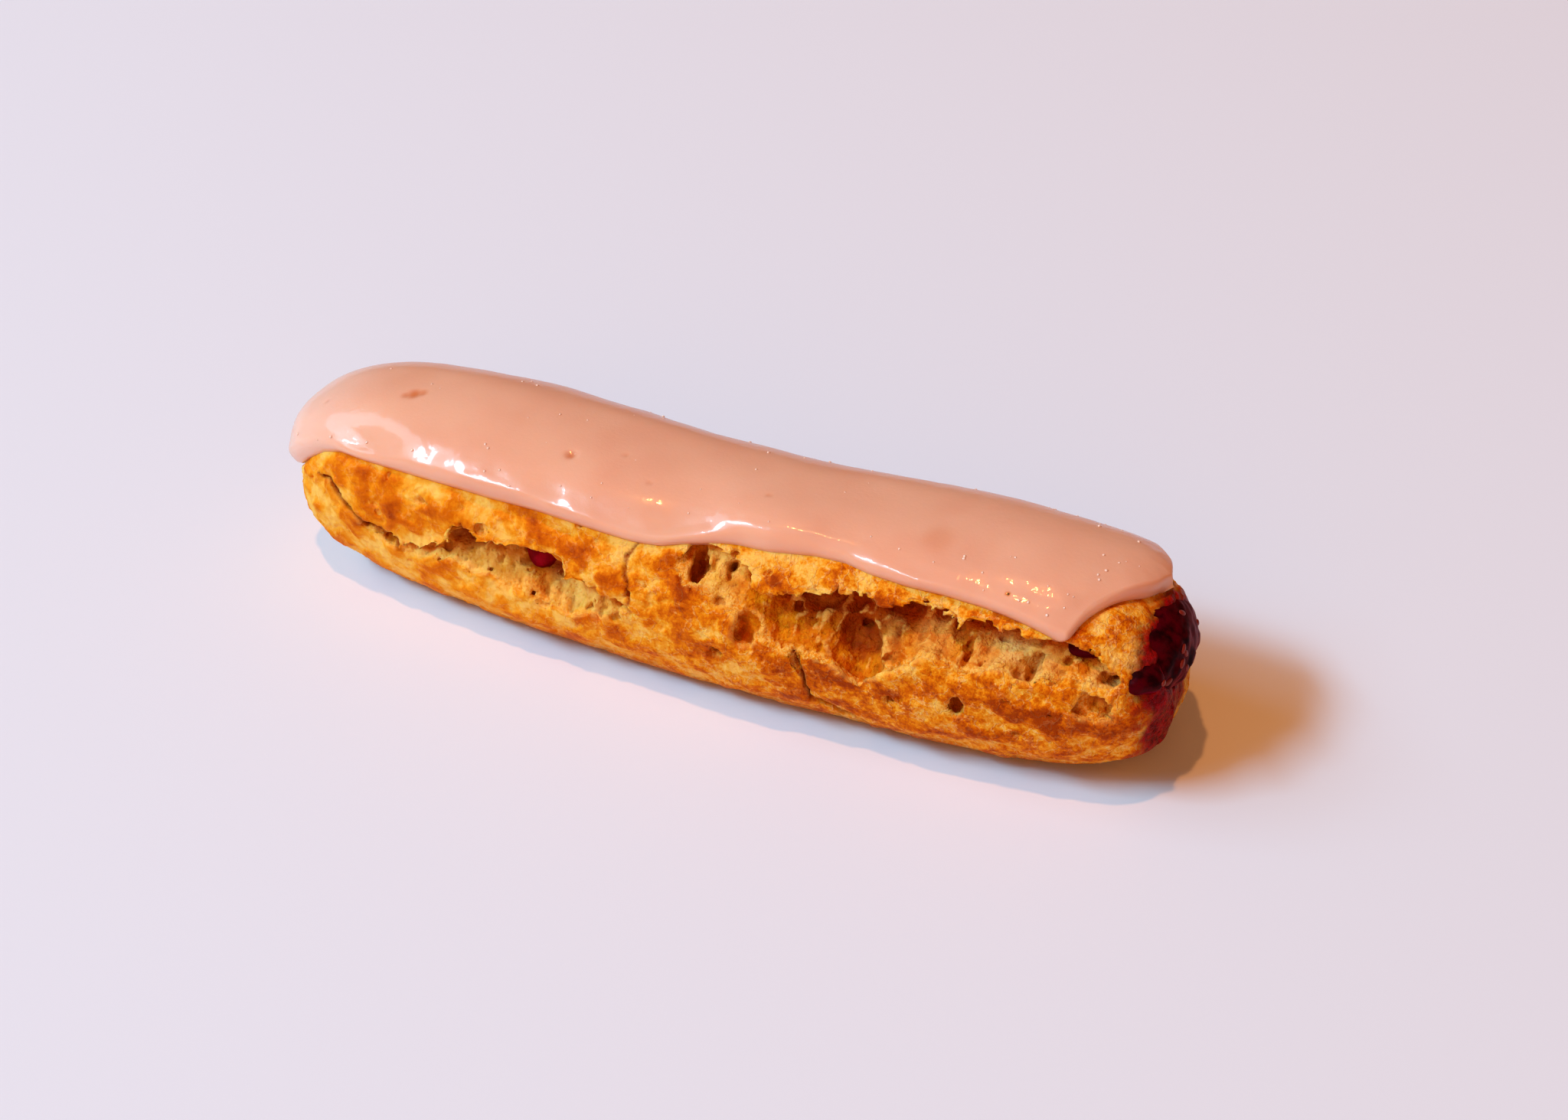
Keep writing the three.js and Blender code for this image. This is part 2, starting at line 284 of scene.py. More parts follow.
# The camera at the photo's angle. It looks at a target from an azimuth that is counted from the
# front to the right.
CAMERA_AZIMUTH = 23.4
CAMERA_ELEVATION = 37.0
CAMERA_DISTANCE = 456.0
CAMERA_TARGET = np.array([9.4, 2.1, 15.9])
CAMERA_ANGLE = 30.0

# Colours of the lights, and each light's azimuth, elevation, distance and sides in metres, watts
# and colour. The window and curtain are cool, the lamp and fill are warm, and so is the room.
COOL_LIGHT = (0.4, 0.77, 1.0)
LIGHTS = {
    "window": [-50, 46, 3.0, (1.1, 0.4), 66, COOL_LIGHT],
    "curtain": [-62, 43, 3.0, (2.8, 0.9), 42, COOL_LIGHT],
    "lamp": [-50, 82, 8.0, (0.267, 0.267), 196, (1.0, 0.39, 0.1)],
    "fill": [2, 24, 20.0, (22, 10.4), 1060, (1.0, 0.44, 0.13)],
}
ROOM_COLOR = (1.0, 0.45, 0.2, 1.0)
ROOM_STRENGTH = 0.23
FLOOR_WIDTH = 6.0


def profile(values):
    """A smooth curve through values in even steps, read at shares from 0 to 1."""
    values = np.array(values, float)
    steps = len(values) - 1

    def read(share):
        at = np.clip(share, 0, 1) * steps
        i = np.minimum(at.astype(int), steps - 1)
        f = at - i
        before, here = values[np.maximum(i - 1, 0)], values[i]
        there, after = values[i + 1], values[np.minimum(i + 2, steps)]
        lean_in, lean_out = (there - before) / 2, (after - here) / 2
        return (
            (2 * here - 2 * there + lean_in + lean_out) * f**3
            + (-3 * here + 3 * there - 2 * lean_in - lean_out) * f**2
            + lean_in * f
            + here
        )

    return read


def bell(offset, width):
    """1 at the middle and next to nothing two widths away."""
    return np.exp(-((offset / width) ** 2))


def smooth_line(pairs, softness):
    """A line through [place, value] pairs with its corners rounded over a length."""
    places, values = np.array(pairs, float).T
    fine = np.arange(places[0], places[-1] + 0.1, 0.1)
    reach = np.arange(-3 * softness, 3 * softness + 0.05, 0.1)
    weight = bell(reach, softness)
    padded = np.interp(fine[:, None] + reach, places, values)
    soft = (padded * weight).sum(axis=1) / weight.sum()
    return lambda x: np.interp(x, fine, soft)


half_width = profile(HALF_WIDTHS)
height = profile(HEIGHTS)
sway = profile(SWAYS)
icing_front = smooth_line(ICING_FRONT, EDGE_SOFTNESS)
icing_back = smooth_line(ICING_BACK, EDGE_SOFTNESS)


def smoothstep(low, high, value):
    """0 before low and 1 past high, with an even bend between them. Low may lie above high."""
    f = np.clip((value - low) / (high - low), 0, 1)
    return f * f * (3 - 2 * f)


def lerp(a, b, share):
    """From a to b by a share."""
    return a + (b - a) * share


# Seeded gradient noise, from about -0.7 to 0.7.
STEPS = (-1, 0, 1)
EDGE_WAYS = [[x, y, z] for x in STEPS for y in STEPS for z in STEPS if x * x + y * y + z * z == 2]
GRADIENTS = np.array(EDGE_WAYS + [[1, 1, 0], [-1, 1, 0], [0, -1, 1], [0, -1, -1]], np.float32)


def hashed(cell, seed):
    """A well mixed whole number for each cell."""
    mixed = cell[..., 0].astype(np.uint32) * np.uint32(73856093)
    mixed ^= cell[..., 1].astype(np.uint32) * np.uint32(19349663)
    mixed ^= cell[..., 2].astype(np.uint32) * np.uint32(83492791)
    mixed ^= np.uint32((seed * 2654435761) % 2**32)
    mixed = (mixed ^ (mixed >> np.uint32(15))) * np.uint32(2246822519)
    mixed = (mixed ^ (mixed >> np.uint32(13))) * np.uint32(3266489917)
    return mixed ^ (mixed >> np.uint32(16))


def noise(points, size, seed):
    """Noise at each point, with features of about a size along each axis."""
    at = np.asarray(points, np.float32) / np.asarray(size, np.float32)
    cell = np.floor(at).astype(np.int32)
    f = at - cell
    fade = f * f * f * (f * (f * 6 - 15) + 10)
    total = np.zeros(len(at), np.float32)
    for corner in np.ndindex(2, 2, 2):
        pick = np.array(corner, np.int32)
        slope = GRADIENTS[hashed(cell + pick, seed) & np.uint32(15)]
        weight = np.prod(np.where(pick, fade, 1 - fade), axis=1)
        total += weight * np.sum(slope * (f - pick), axis=1)
    return total


def noise_vectors(points, size, seed):
    """Three noises at each point, one for each axis."""
    return np.stack([noise(points, size, seed + axis) for axis in range(3)], axis=1)


def layered(points, size, seed, layers=3):
    """Noise with finer and weaker noise laid over it."""
    size = np.asarray(size, float)
    return sum(noise(points, size / 2**i, seed + 17 * i) / 2**i for i in range(layers))


def ridged(points, size, seed, layers=2):
    """Thin crests with wide bowls between them, from 0 to 1."""
    size = np.asarray(size, float)
    total = sum((1 - 2 * np.abs(noise(points, size / 2**i, seed + 17 * i))) / 2**i for i in range(layers))
    return total / (2 - 0.5 ** (layers - 1))


def noise_line(places, size, seed):
    """Noise along a line of places, its own for each seed."""
    line = np.stack([places, np.full_like(places, 0.37), np.full_like(places, seed * 1.7)], axis=1)
    return noise(line, size, seed)


def section(x, grow=0.0):
    """The bun's section at each x: taper, middle, axis height, half width, reach up and reach down."""
    t = np.clip(x / (HALF_LENGTH + grow), -1, 1)
    share = (t + 1) / 2
    blunt = np.where(t < 0, LEFT_BLUNTNESS, RIGHT_BLUNTNESS)
    taper = np.maximum(1 - np.abs(t) ** blunt, 0) ** (1 / blunt)
    axis = height(share) * AXIS_SHARE
    return taper, sway(share), axis, half_width(share), height(share) - axis, axis * FOOT_REACH


def bun_point(x, degrees, grow=0.0):
    """The point of the bun's plain surface at a place along it and an angle, moved out by grow."""
    x, degrees, grow = np.broadcast_arrays(np.asarray(x, float), degrees, grow)
    taper, middle, axis, wide, up, down = section(x)
    angle = np.radians(degrees)
    outward, upward = -np.cos(angle), np.sin(angle)
    across = np.abs(outward) / (wide + grow)
    along = np.abs(upward) / (np.where(upward > 0, up, down) + grow)
    radius = taper / (across**SQUARENESS + along**SQUARENESS) ** (1 / SQUARENESS)
    t = np.clip(x / HALF_LENGTH, -1, 1)
    lean = RIGHT_END_LEAN * np.maximum(t, 0) ** LEAN_ONSET * upward
    along_bun = (HALF_LENGTH + grow) * t - lean
    return np.stack([along_bun, middle + radius * outward, axis + radius * upward], -1)


def bun_field(points):
    """Depth below the bun's plain surface, and the angle round its axis, at each point."""
    x, y, z = points[..., 0], points[..., 1], points[..., 2]
    lean_share = np.clip(x / HALF_LENGTH, 0, 1) ** LEAN_ONSET
    upright = np.clip((z - AXIS_SHARE * HEIGHTS[-1]) / SIDE_RADIUS, -1, 1)
    x = x + RIGHT_END_LEAN * lean_share * upright
    t = np.clip(x / HALF_LENGTH, -1.2, 1.2)
    _, middle, axis, wide, up, down = section(x)
    reach = np.where(z > axis, up, down)
    across, along = np.abs(y - middle) / wide, np.abs(z - axis) / reach
    round_share = (across**SQUARENESS + along**SQUARENESS) ** (1 / SQUARENESS)
    blunt = np.where(t < 0, LEFT_BLUNTNESS, RIGHT_BLUNTNESS)
    level = (np.abs(t) ** blunt + round_share**blunt) ** (1 / blunt)
    side_slope = (round_share / np.maximum(level, 1e-6)) ** (blunt - 1)
    end_slope = (np.abs(t) / np.maximum(level, 1e-6)) ** (blunt - 1)
    radius = np.hypot(y - middle, z - axis) / np.maximum(round_share, 1e-6)
    slope = np.hypot(side_slope / np.maximum(radius, 1e-6), end_slope / HALF_LENGTH)
    depth = (1 - level) / np.maximum(slope, 1e-6)
    angle = np.degrees(np.arctan2(z - axis, -(y - middle)))
    return depth, np.where(angle < -90, angle + 360, angle)


def bareness(x, angle, low=-5, high=2):
    """1 on bare crust and 0 under the icing."""
    inside = np.minimum(angle - icing_front(x), icing_back(x) - angle)
    return np.where(x > ICING_RIGHT, 1, 1 - smoothstep(low, high, inside))


def bubble(points, middle, radii):
    """How far points lie inside a ball with three radii, in millimetres near its skin."""
    share = np.sqrt((((points - middle) / np.asarray(radii, float)) ** 2).sum(axis=-1))
    return (1 - share) * min(radii)


def carve_tear(solid, tear, points, depth, angle):
    """Cuts a tear whose crumb slopes in from its floor line and ends under an overhanging lip."""
    seed = tear["seed"]
    places = points[:, 0, 0, 0]
    rag = 1.1 * noise_line(places, 4.5, seed) + 0.6 * noise_line(places, 1.7, seed + 1)
    rag_low = 1.5 * noise_line(places, 5.5, seed + 2) + tear["teeth"] * noise_line(places, 1.9, seed + 3)
    lip = np.interp(places, tear["places"], tear["lip"]) * MM_PER_DEGREE + rag
    floor = np.interp(places, tear["places"], tear["floor"]) * MM_PER_DEGREE + rag_low
    first, last = tear["places"][0], tear["places"][-1]
    open_share = smoothstep(first, first + 3, places) * smoothstep(last, last - 3, places)
    way = 1 if tear["lip"][1] > tear["floor"][1] else -1
    tall = np.maximum(way * (lip - floor), 0.8) * open_share + 0.1
    span = (places > first - 1)[:, None, None] & (places < last + 1)[:, None, None]
    near = np.nonzero(span & (depth > -1) & (depth < max(tear["depth"]) + 3))
    d, row = depth[near], near[0]
    under = tear["undercut"] * (1 - np.exp(-np.maximum(d, 0) / 1.2))
    above_floor = way * (angle[near] * MM_PER_DEGREE - floor[row])
    below_lip = tall[row] + under - above_floor
    share = np.clip(above_floor / tall[row], 0, 1)
    lumps = 1 + 0.5 * layered(points[near], [4.4, 7.0, 7.0], seed + 4, 2)
    deepest = np.interp(places, tear["places"], tear["depth"]) * open_share
    slope_depth = deepest[row] * share**0.7 * lumps
    hollow = np.minimum((slope_depth - d) * 0.75, np.minimum(below_lip, above_floor + 0.4))
    solid[near] = np.minimum(solid[near], -hollow)


def carve_balls(solid, low_corner, grain, centres, radii):
    """Cuts balls with three radii each out of the solid."""
    for centre, radius in zip(np.asarray(centres, float), np.asarray(radii, float)):
        low = np.maximum(np.floor((centre - radius - 1 - low_corner) / grain).astype(int), 0)
        high = np.minimum(np.ceil((centre + radius + 1 - low_corner) / grain).astype(int) + 1, solid.shape)
        if (high <= low).any():
            continue
        block = tuple(slice(a, b) for a, b in zip(low, high))
        axes = [low_corner[k] + grain * np.arange(low[k], high[k]) for k in range(3)]
        points = np.stack(np.meshgrid(*axes, indexing="ij"), -1)
        solid[block] = np.minimum(solid[block], -bubble(points, centre, radius))


def carve_hollow(solid, points, depth, angle, hollow, seed):
    """Cuts one burst bubble: an uneven bowl that opens at the surface."""
    place, degrees, length, tall, deep = hollow[:5]
    along = points[..., 0] - place
    above = (angle - degrees) * MM_PER_DEGREE
    around = (np.abs(along) < length * 0.7 + 1) & (np.abs(above) < tall * 0.7 + 1)
    near = np.nonzero(around & (depth < 1.4 * deep))
    along, above = along[near] / (length / 2), above[near] / (tall / 2)
    share = np.sqrt(along**2 + above**2 + (np.maximum(depth[near], 0) / deep) ** 2)
    share += 0.45 * layered(points[near], 0.34 * (length + tall), seed, 3)
    solid[near] = np.minimum(solid[near], (share - 1) * min(length, tall, deep) / 2)


def wandering(points, angle):
    """Places along the bun and up its side, shifted by noise so that lines through them look torn."""
    x = points[:, 0] + 0.9 * noise(points, 2.6, 121)
    return x, angle * MM_PER_DEGREE + 0.9 * noise(points, 2.6, 125)


def carve_crack(solid, points, depth, angle, crack):
    """Cuts one crack, widest at the surface."""
    line, half_open, deep = crack
    x = points[..., 0]
    along, degrees = np.array(line).T
    beside = (x > along.min() - 2) & (x < along.max() + 2)
    level = (angle > degrees.min() - 8) & (angle < degrees.max() + 8)
    near = np.nonzero(beside & level & (np.abs(depth) < deep + 1))
    off = line_distance(*wandering(points[near], angle[near]), line)
    open_here = half_open * (1 - np.maximum(depth[near], 0) / deep)
    solid[near] = np.minimum(solid[near], off - open_here)


def crumb_bubbles(rng, tear):
    """Middles and radii of the small bubbles in a tear's crumb and along the froth under its lip."""
    first, last = tear["places"][0] + 2, tear["places"][-1] - 2
    in_crumb, in_froth = tear["bubbles"], int(1.3 * (last - first))
    places = np.concatenate([rng.uniform(first, last, count) for count in (in_crumb, in_froth)])
    lip = np.interp(places, tear["places"], tear["lip"])
    floor = np.interp(places, tear["places"], tear["floor"])
    share = np.concatenate([rng.uniform(0, 0.9, in_crumb), rng.uniform(0.9, 1.15, in_froth)])
    deepest = np.interp(places, tear["places"], tear["depth"])
    crumb_depth = deepest * (0.2 + 0.8 * share) * rng.uniform(0.6, 1.1, len(places))
    deep = np.where(share < 0.9, crumb_depth, rng.uniform(0.2, 2.0, len(places)))
    centres = bun_point(places, lerp(floor, lip, share), -deep)
    radii = 0.35 + 0.65 * rng.random(len(places)) ** 3
    squash = rng.uniform(0.7, 1.35, (len(places), 3))
    return centres, radii[:, None] * squash


def skin_pores(rng, count):
    """Middles and radii of the small pores in the bare skin."""
    places = rng.uniform(-70, 71, count)
    degrees = rng.uniform(-36, 44, count)
    radii = 0.35 + 0.4 * rng.random(count) ** 2
    squash = rng.uniform(0.75, 1.5, (count, 3))
    return bun_point(places, degrees, -0.15), radii[:, None] * squash


def grid_points(low, high, grain):
    """The corners of a grid of small cells that fills a box."""
    counts = np.ceil((np.array(high) - low) / grain).astype(int)
    axes = [low[k] + grain * np.arange(counts[k]) for k in range(3)]
    return np.stack(np.meshgrid(*axes, indexing="ij"), -1)


def skin_of(solid, low, grain):
    """The surface where the field is zero, as corners and quads, with only its largest shell kept."""
    grid = openvdb.FloatGrid(background=MARGIN)
    grid.copyFromArray(np.ascontiguousarray(np.clip(-solid, -MARGIN, MARGIN).astype(np.float32)))
    corners, _, quads = grid.convertToPolygons(isovalue=0.0, adaptivity=0.0)
    return facing_out(*largest_shell(corners * grain + low, quads.astype(int)))


def largest_shell(points, faces):
    """The largest connected part of a mesh of quads, without crumbs that float loose."""
    label = np.arange(len(points))
    edges = np.concatenate([faces[:, [0, 1]], faces[:, [1, 2]], faces[:, [2, 3]]])
    while True:
        low = np.minimum(label[edges[:, 0]], label[edges[:, 1]])
        new = label.copy()
        np.minimum.at(new, edges[:, 0], low)
        np.minimum.at(new, edges[:, 1], low)
        new = new[new]
        if (new == label).all():
            break
        label = new
    names, counts = np.unique(label, return_counts=True)
    keep = label == names[np.argmax(counts)]
    index = np.cumsum(keep) - 1
    return points[keep], index[faces[keep[faces[:, 0]]]]


def facing_out(points, faces):
    """The same mesh with its faces pointing outwards."""
    a, b, c = (points[faces[:, i]] for i in (0, 1, 2))
    signed = np.einsum("ij,ij->i", a, np.cross(b, c)).sum()
    return points, faces if signed > 0 else faces[:, ::-1]


def triangles_of(quads):
    """Each quad as two triangles."""
    return np.concatenate([quads[:, [0, 1, 2]], quads[:, [0, 2, 3]]])


def corner_normals(points, faces):
    """Unit normals at the corners of quads or triangles."""
    first, second, third = (points[faces[:, i]] for i in (0, 1, 2))
    if faces.shape[1] == 4:
        face_normals = np.cross(third - first, points[faces[:, 3]] - second)
    else:
        face_normals = np.cross(second - first, third - first)
    total = np.zeros_like(points)
    for column in faces.T:
        for k in range(3):
            total[:, k] += np.bincount(column, face_normals[:, k], len(points))
    return total / np.maximum(np.linalg.norm(total, axis=1, keepdims=True), 1e-9)


def soften(values, faces, rounds):
    """Each column of values at the corners, averaged with the neighbours' a number of times."""
    corners = faces.ravel()
    count = np.bincount(corners, minlength=len(values)) * 2.0
    before, after = (np.roll(faces, side, axis=1).ravel() for side in (1, -1))
    soft = values.reshape(len(values), -1).astype(float)
    for _ in range(rounds):
        for column in soft.T:
            total = np.bincount(corners, column[before], len(values))
            total += np.bincount(corners, column[after], len(values))
            column[:] = total / count
    return soft.reshape(values.shape)


def line_distance(x, up, line):
    """Distance from each place on the crust to a crack's line of places and angles."""
    nearest = np.full(len(x), 1e3)
    spots = [np.array([place, degrees * MM_PER_DEGREE]) for place, degrees in line]
    for start, end in zip(spots, spots[1:]):
        way = end - start
        share = np.clip(((x - start[0]) * way[0] + (up - start[1]) * way[1]) / (way @ way), 0, 1)
        off = np.hypot(x - start[0] - share * way[0], up - start[1] - share * way[1])
        nearest = np.minimum(nearest, off)
    return nearest


def add_object(name, data):
    """A new object in the scene."""
    made = bpy.data.objects.new(name, data)
    bpy.context.collection.objects.link(made)
    return made


def bare_object(name, points, faces, marks, scale=1.0):
    """A mesh object with smooth faces and one number for each mark at every corner."""
    mesh = bpy.data.meshes.new(name)
    mesh.from_pydata(points * scale, [], faces.tolist())
    mesh.polygons.foreach_set("use_smooth", np.ones(len(mesh.polygons), bool))
    for mark, values in marks.items():
        mesh.attributes.new(mark, "FLOAT", "POINT").data.foreach_set("value", values.astype(np.float32))
    return add_object(name, mesh)


def ride_in(piece, slot, *replaced):
    """Puts a finished piece on the eclair's one body, in place of the solids that it stands for."""
    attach(piece, "root")
    if replaced:
        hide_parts(*replaced)


def make_piece(name, points, faces, marks, material, slot, *replaced):
    """A finished piece in metres, in the frame."""
    piece = bare_object(name, points + BUN_MIDDLE, faces, marks, MM)
    piece.data.materials.append(material)
    ride_in(piece, slot, *replaced)


def read_mesh(mesh, marks):
    """A mesh's corners and triangles, with the numbers of each named mark."""
    mesh.calc_loop_triangles()
    corners = np.empty(3 * len(mesh.vertices))
    mesh.vertices.foreach_get("co", corners)
    triangles = np.empty(3 * len(mesh.loop_triangles), int)
    mesh.loop_triangles.foreach_get("vertices", triangles)
    kept = {mark: np.empty(len(mesh.vertices), np.float32) for mark in marks}
    for mark, values in kept.items():
        mesh.attributes[mark].data.foreach_get("value", values)
    return corners.reshape(-1, 3), triangles.reshape(-1, 3), kept


def thin_out(points, faces, marks, hidden):
    """Thins what is out of sight to its share of triangles, then all of it where it is smoothest."""
    scratch = bare_object("scratch", points, faces, marks)
    group = scratch.vertex_groups.new(name="hidden")
    group.add(np.flatnonzero(hidden).tolist(), 1.0, "REPLACE")
    per_face = faces.shape[1] - 2
    hidden_count = per_face * np.count_nonzero(hidden[faces].all(axis=1))
    left = per_face * len(faces) - (1 - HIDDEN_SHARE) * hidden_count
    first = scratch.modifiers.new("hidden", "DECIMATE")
    first.ratio = left / (per_face * len(faces))
    first.vertex_group = "hidden"
    second = scratch.modifiers.new("all", "DECIMATE")
    second.ratio = min(CRUST_TRIANGLES / left, 1)
    thinned = scratch.evaluated_get(bpy.context.evaluated_depsgraph_get())
    arrays = read_mesh(thinned.to_mesh(), marks)
    thinned.to_mesh_clear()
    bpy.data.objects.remove(scratch)
    return arrays


def sculpt_bun():
    """The torn bun as corners and quads."""
    wide, tall = max(HALF_WIDTHS) + MARGIN, max(HEIGHTS) + MARGIN
    low = np.array([-HALF_LENGTH - MARGIN, -wide, -MARGIN])
    points = grid_points(low, [HALF_LENGTH + MARGIN, wide, tall], CRUST_GRAIN)
    depth, angle = bun_field(points)
    solid = np.minimum(depth, points[..., 2])
    rng = np.random.default_rng(11)
    for tear in TEARS:
        carve_tear(solid, tear, points, depth, angle)
    for seed, hollow in enumerate(HOLLOWS.values(), FIRST_HOLLOW_SEED):
        carve_hollow(solid, points, depth, angle, hollow, seed)
    for crack in CRACKS:
        carve_crack(solid, points, depth, angle, crack)
    for tear in TEARS:
        carve_balls(solid, low, CRUST_GRAIN, *crumb_bubbles(rng, tear))
    carve_balls(solid, low, CRUST_GRAIN, *skin_pores(rng, SKIN_PORES))
    carve_balls(solid, low, CRUST_GRAIN, *zip(MOUTH, SPILL_PIT))
    return skin_of(solid, low, CRUST_GRAIN)


def rough_up(points, share):
    """Moves corners by seeded noise, so that rims and walls look torn."""
    moved = points.copy()
    for size, reach, seed in ROUGH_LAYERS:
        moved += (share * reach)[:, None] * noise_vectors(points, size, seed)
    return moved


def spread_of(spots, x, up):
    """How strongly the listed spots, with soft edges, show at each place on the crust."""
    total = np.zeros(len(x))
    for place, degrees, length, tall, share in spots:
        along = (x - place) / (length / 2)
        above = (up - degrees * MM_PER_DEGREE) / (tall / 2)
        total = np.maximum(total, share * np.exp(-(along**2 + above**2) ** 1.5))
    return total


def red_share(x, up, sunk):
    """How much painted red-brown shade the deep walls of the named hollows get."""
    total = np.zeros(len(x))
    for place, degrees, length, tall, deep, red in HOLLOWS.values():
        along = (x - place) / (0.62 * length)
        above = (up - degrees * MM_PER_DEGREE) / (0.62 * tall)
        deeper = smoothstep(0.12 * deep, 0.65 * deep, sunk)
        total = np.maximum(total, red * deeper * np.exp(-(along**2 + above**2)))
    return total


def crack_share(x, up):
    """1 along the cracks and 0 beside them."""
    near = [bell(line_distance(x, up, line), 1.2 * half_open) for line, half_open, _ in CRACKS]
    return np.max(near, axis=0)


def juice_share(points):
    """1 where raspberry juice has soaked the crust, with a ragged edge."""
    wet = np.max([bubble(points, *patch) for patch in JUICE_PATCHES], axis=0)
    spread = 1.3 * noise(points, 3.0, 161) + 0.7 * noise(points, 1.2, 165)
    return smoothstep(-1.4, 1.6, wet + spread)


def blister_and_light_share(bent, x, up, scorch):
    """How blistered and brown the skin is, with painted light: paler on the left and in a band high up, and
    painted shade low on the right.
    """
    blister = layered(bent, [5.5, 4.2, 4.2], 101) + 0.45 * scorch
    # Painted light: paler gold and flatter on the left and in a band high up.
    blister -= 0.2 * smoothstep(10, -40, x) + 0.22 * smoothstep(8, 12, up) * smoothstep(-45, -5, x)
    # Painted shade: browner low on the right.
    return blister + 0.1 * smoothstep(12, 20, x) * smoothstep(3, -1, up)


def skin_relief(points, bent, blister, scorch):
    """Height of the skin: slow swells, blisters with fine rims, and wrinkles between them."""
    calm = smoothstep(0.5, 9.0, points[:, 2])
    lumps = lerp(0.9, 0.45, smoothstep(-25, -58, points[:, 0]))
    swell = noise(points, [16, 12, 12], 131) + lumps * noise(points, [7, 5.5, 5.5], 135)
    raised = smoothstep(-0.3, 0.3, blister)
    blisters = BLISTER_HEIGHT * raised
    rims = BLISTER_RIM_HEIGHT * bell(blister - 0.03, 0.11)
    wrinkles = WRINKLE_HEIGHT * (1 - raised) * (ridged(bent, [1.7, 1.3, 1.3], 111) - 0.6)
    return calm * swell + blisters + rims + SCORCH_HEIGHT * scorch + wrinkles


def crumb_relief(points):
    """Height of the torn crumb: soft folds with sharp little walls over them."""
    folds = CRUMB_FOLD_HEIGHT * layered(points, [2.6, 5.0, 5.0], 141, 2)
    return folds + CRUMB_WALL_HEIGHT * (ridged(points, [1.1, 1.5, 2.2], 151) - 0.5)


def dress_bun(points, faces):
    """Gives the sculpted bun its blisters, wrinkles and crumb, and marks them for the paint."""
    depth, angle = bun_field(points)
    x, up = points[:, 0], angle * MM_PER_DEGREE
    sunk = np.maximum(depth, 0)
    free = bareness(x, angle) * smoothstep(0.1, 3.0, points[:, 2])
    torn = smoothstep(0.25, 0.8, sunk)
    near_tear = np.clip(2.2 * soften(torn, faces, 14), 0, 1)
    scorch = spread_of(SCORCHES, x + 2.0 * noise(points, 5, 91), up + 2.0 * noise(points, 5, 95))
    bent = points + 1.5 * noise_vectors(points, 3.0, 201)
    blister = blister_and_light_share(bent, x, up, scorch)
    relief = free * lerp(skin_relief(points, bent, blister, scorch), crumb_relief(points), torn)
    moved = rough_up(points, free * lerp(0.15, 1.0 - 0.45 * torn, near_tear))
    moved += corner_normals(moved, faces) * relief[:, None]
    moved[:, 0] += LEFT_END_SHRINK * smoothstep(-64, -74, x)
    moved[:, 2] = np.maximum(moved[:, 2], 0)
    stands_out = ((moved - soften(moved, faces, 7)) * corner_normals(moved, faces)).sum(axis=1)
    wander_x, wander_up = wandering(points, angle)
    marks = {
        "sunk": sunk,
        "blister": blister,
        "scorch": scorch,
        # How far a torn corner stands out or sinks in, for a painted highlight on ridges and painted shade
        # in grooves.
        "ridge": np.clip(stands_out / 0.22, -1, 1) * near_tear,
        "red": red_share(x, up, sunk),
        "pale": spread_of(PALE_CRUMB, wander_x, wander_up),
        "crack": crack_share(wander_x, wander_up),
        "juice": juice_share(points),
    }
    return moved, marks


def bun_piece():
    """The baked bun, thinned under the icing, on its foot and along its back."""
    points, faces = sculpt_bun()
    depth, angle = bun_field(points)
    under_icing = bareness(points[:, 0], angle, 3, 7) < 0.5
    covered = (under_icing & (depth < 1.0)) | (points[:, 2] < 0.3)
    behind = (angle > 120) & (depth < 1.0)
    points, marks = dress_bun(points, faces)
    points, faces, marks = thin_out(points, faces, marks, covered | behind)
    make_piece("torn_choux_bun", points, faces, marks, choux_material(), "crust", "choux_bun")


def ring_mesh(rings):
    """Closed rings of points, joined along their order, with both ends drawn to a point."""
    count, around = rings.shape[:2]
    start, end = rings[0].mean(axis=0), rings[-1].mean(axis=0)
    points = np.concatenate([rings.reshape(-1, 3), [start, end]])
    i, j = np.meshgrid(np.arange(count - 1), np.arange(around), indexing="ij")
    k = (j + 1) % around
    quads = np.stack([i * around + j, i * around + k, (i + 1) * around + k, (i + 1) * around + j], -1)
    quads = quads.reshape(-1, 4)
    j = np.arange(around)
    k = (j + 1) % around
    last = (count - 1) * around
    caps = np.concatenate([
        np.stack([k, j, np.full(around, count * around)], -1),
        np.stack([last + j, last + k, np.full(around, count * around + 1)], -1),
    ])
    return facing_out(points, np.concatenate([triangles_of(quads), caps]))


def icing_coat(plain, degrees, from_edge):
    """How far the icing stands off the bun at each place, with its rounded rim and soft swells."""
    x = plain[:, 0]
    rim_width = np.interp(x, *np.array(RIM_WIDTHS).T)
    rise = 1 - np.minimum(from_edge / rim_width, 1)
    full = ICING_THICKNESS * (1 - LEFT_THIN_SHARE * smoothstep(LEFT_THIN_FROM, ICING_LEFT, x))
    coat = lerp(-ICING_TUCK, full, (1 - rise**RIM_ROUNDNESS) ** (1 / RIM_ROUNDNESS))
    settled = smoothstep(0, rim_width, from_edge)
    swell = RIM_SWELL * noise(plain, [17, 12, 12], 307)
    ripple = RIM_RIPPLE * layered(plain, [5.5, 3.2, 3.2], 309, 2)
    right_end = bell(x - SHOULDER_ALONG, SHOULDER_REACH)
    coat += swell * bell(from_edge - SWELL_FROM_EDGE, SWELL_BAND)
    coat -= RIM_SAG * smoothstep(*SAG_BAND, from_edge)
    coat += ripple * bell(from_edge - RIPPLE_FROM_EDGE, RIPPLE_BAND)
    coat += RIGHT_SHOULDER * settled * right_end * smoothstep(*SHOULDER_ANGLES, degrees)
    coat += settled * (0.3 * noise(plain, [26, 12, 12], 301) + 0.2 * noise(plain, [11, 7, 7], 305))
    for place, angle, radius, high in ICING_SWELLS:
        off = np.linalg.norm(plain - bun_point(place, angle), axis=1)
        coat += high * settled * bell(off, radius)
    return coat


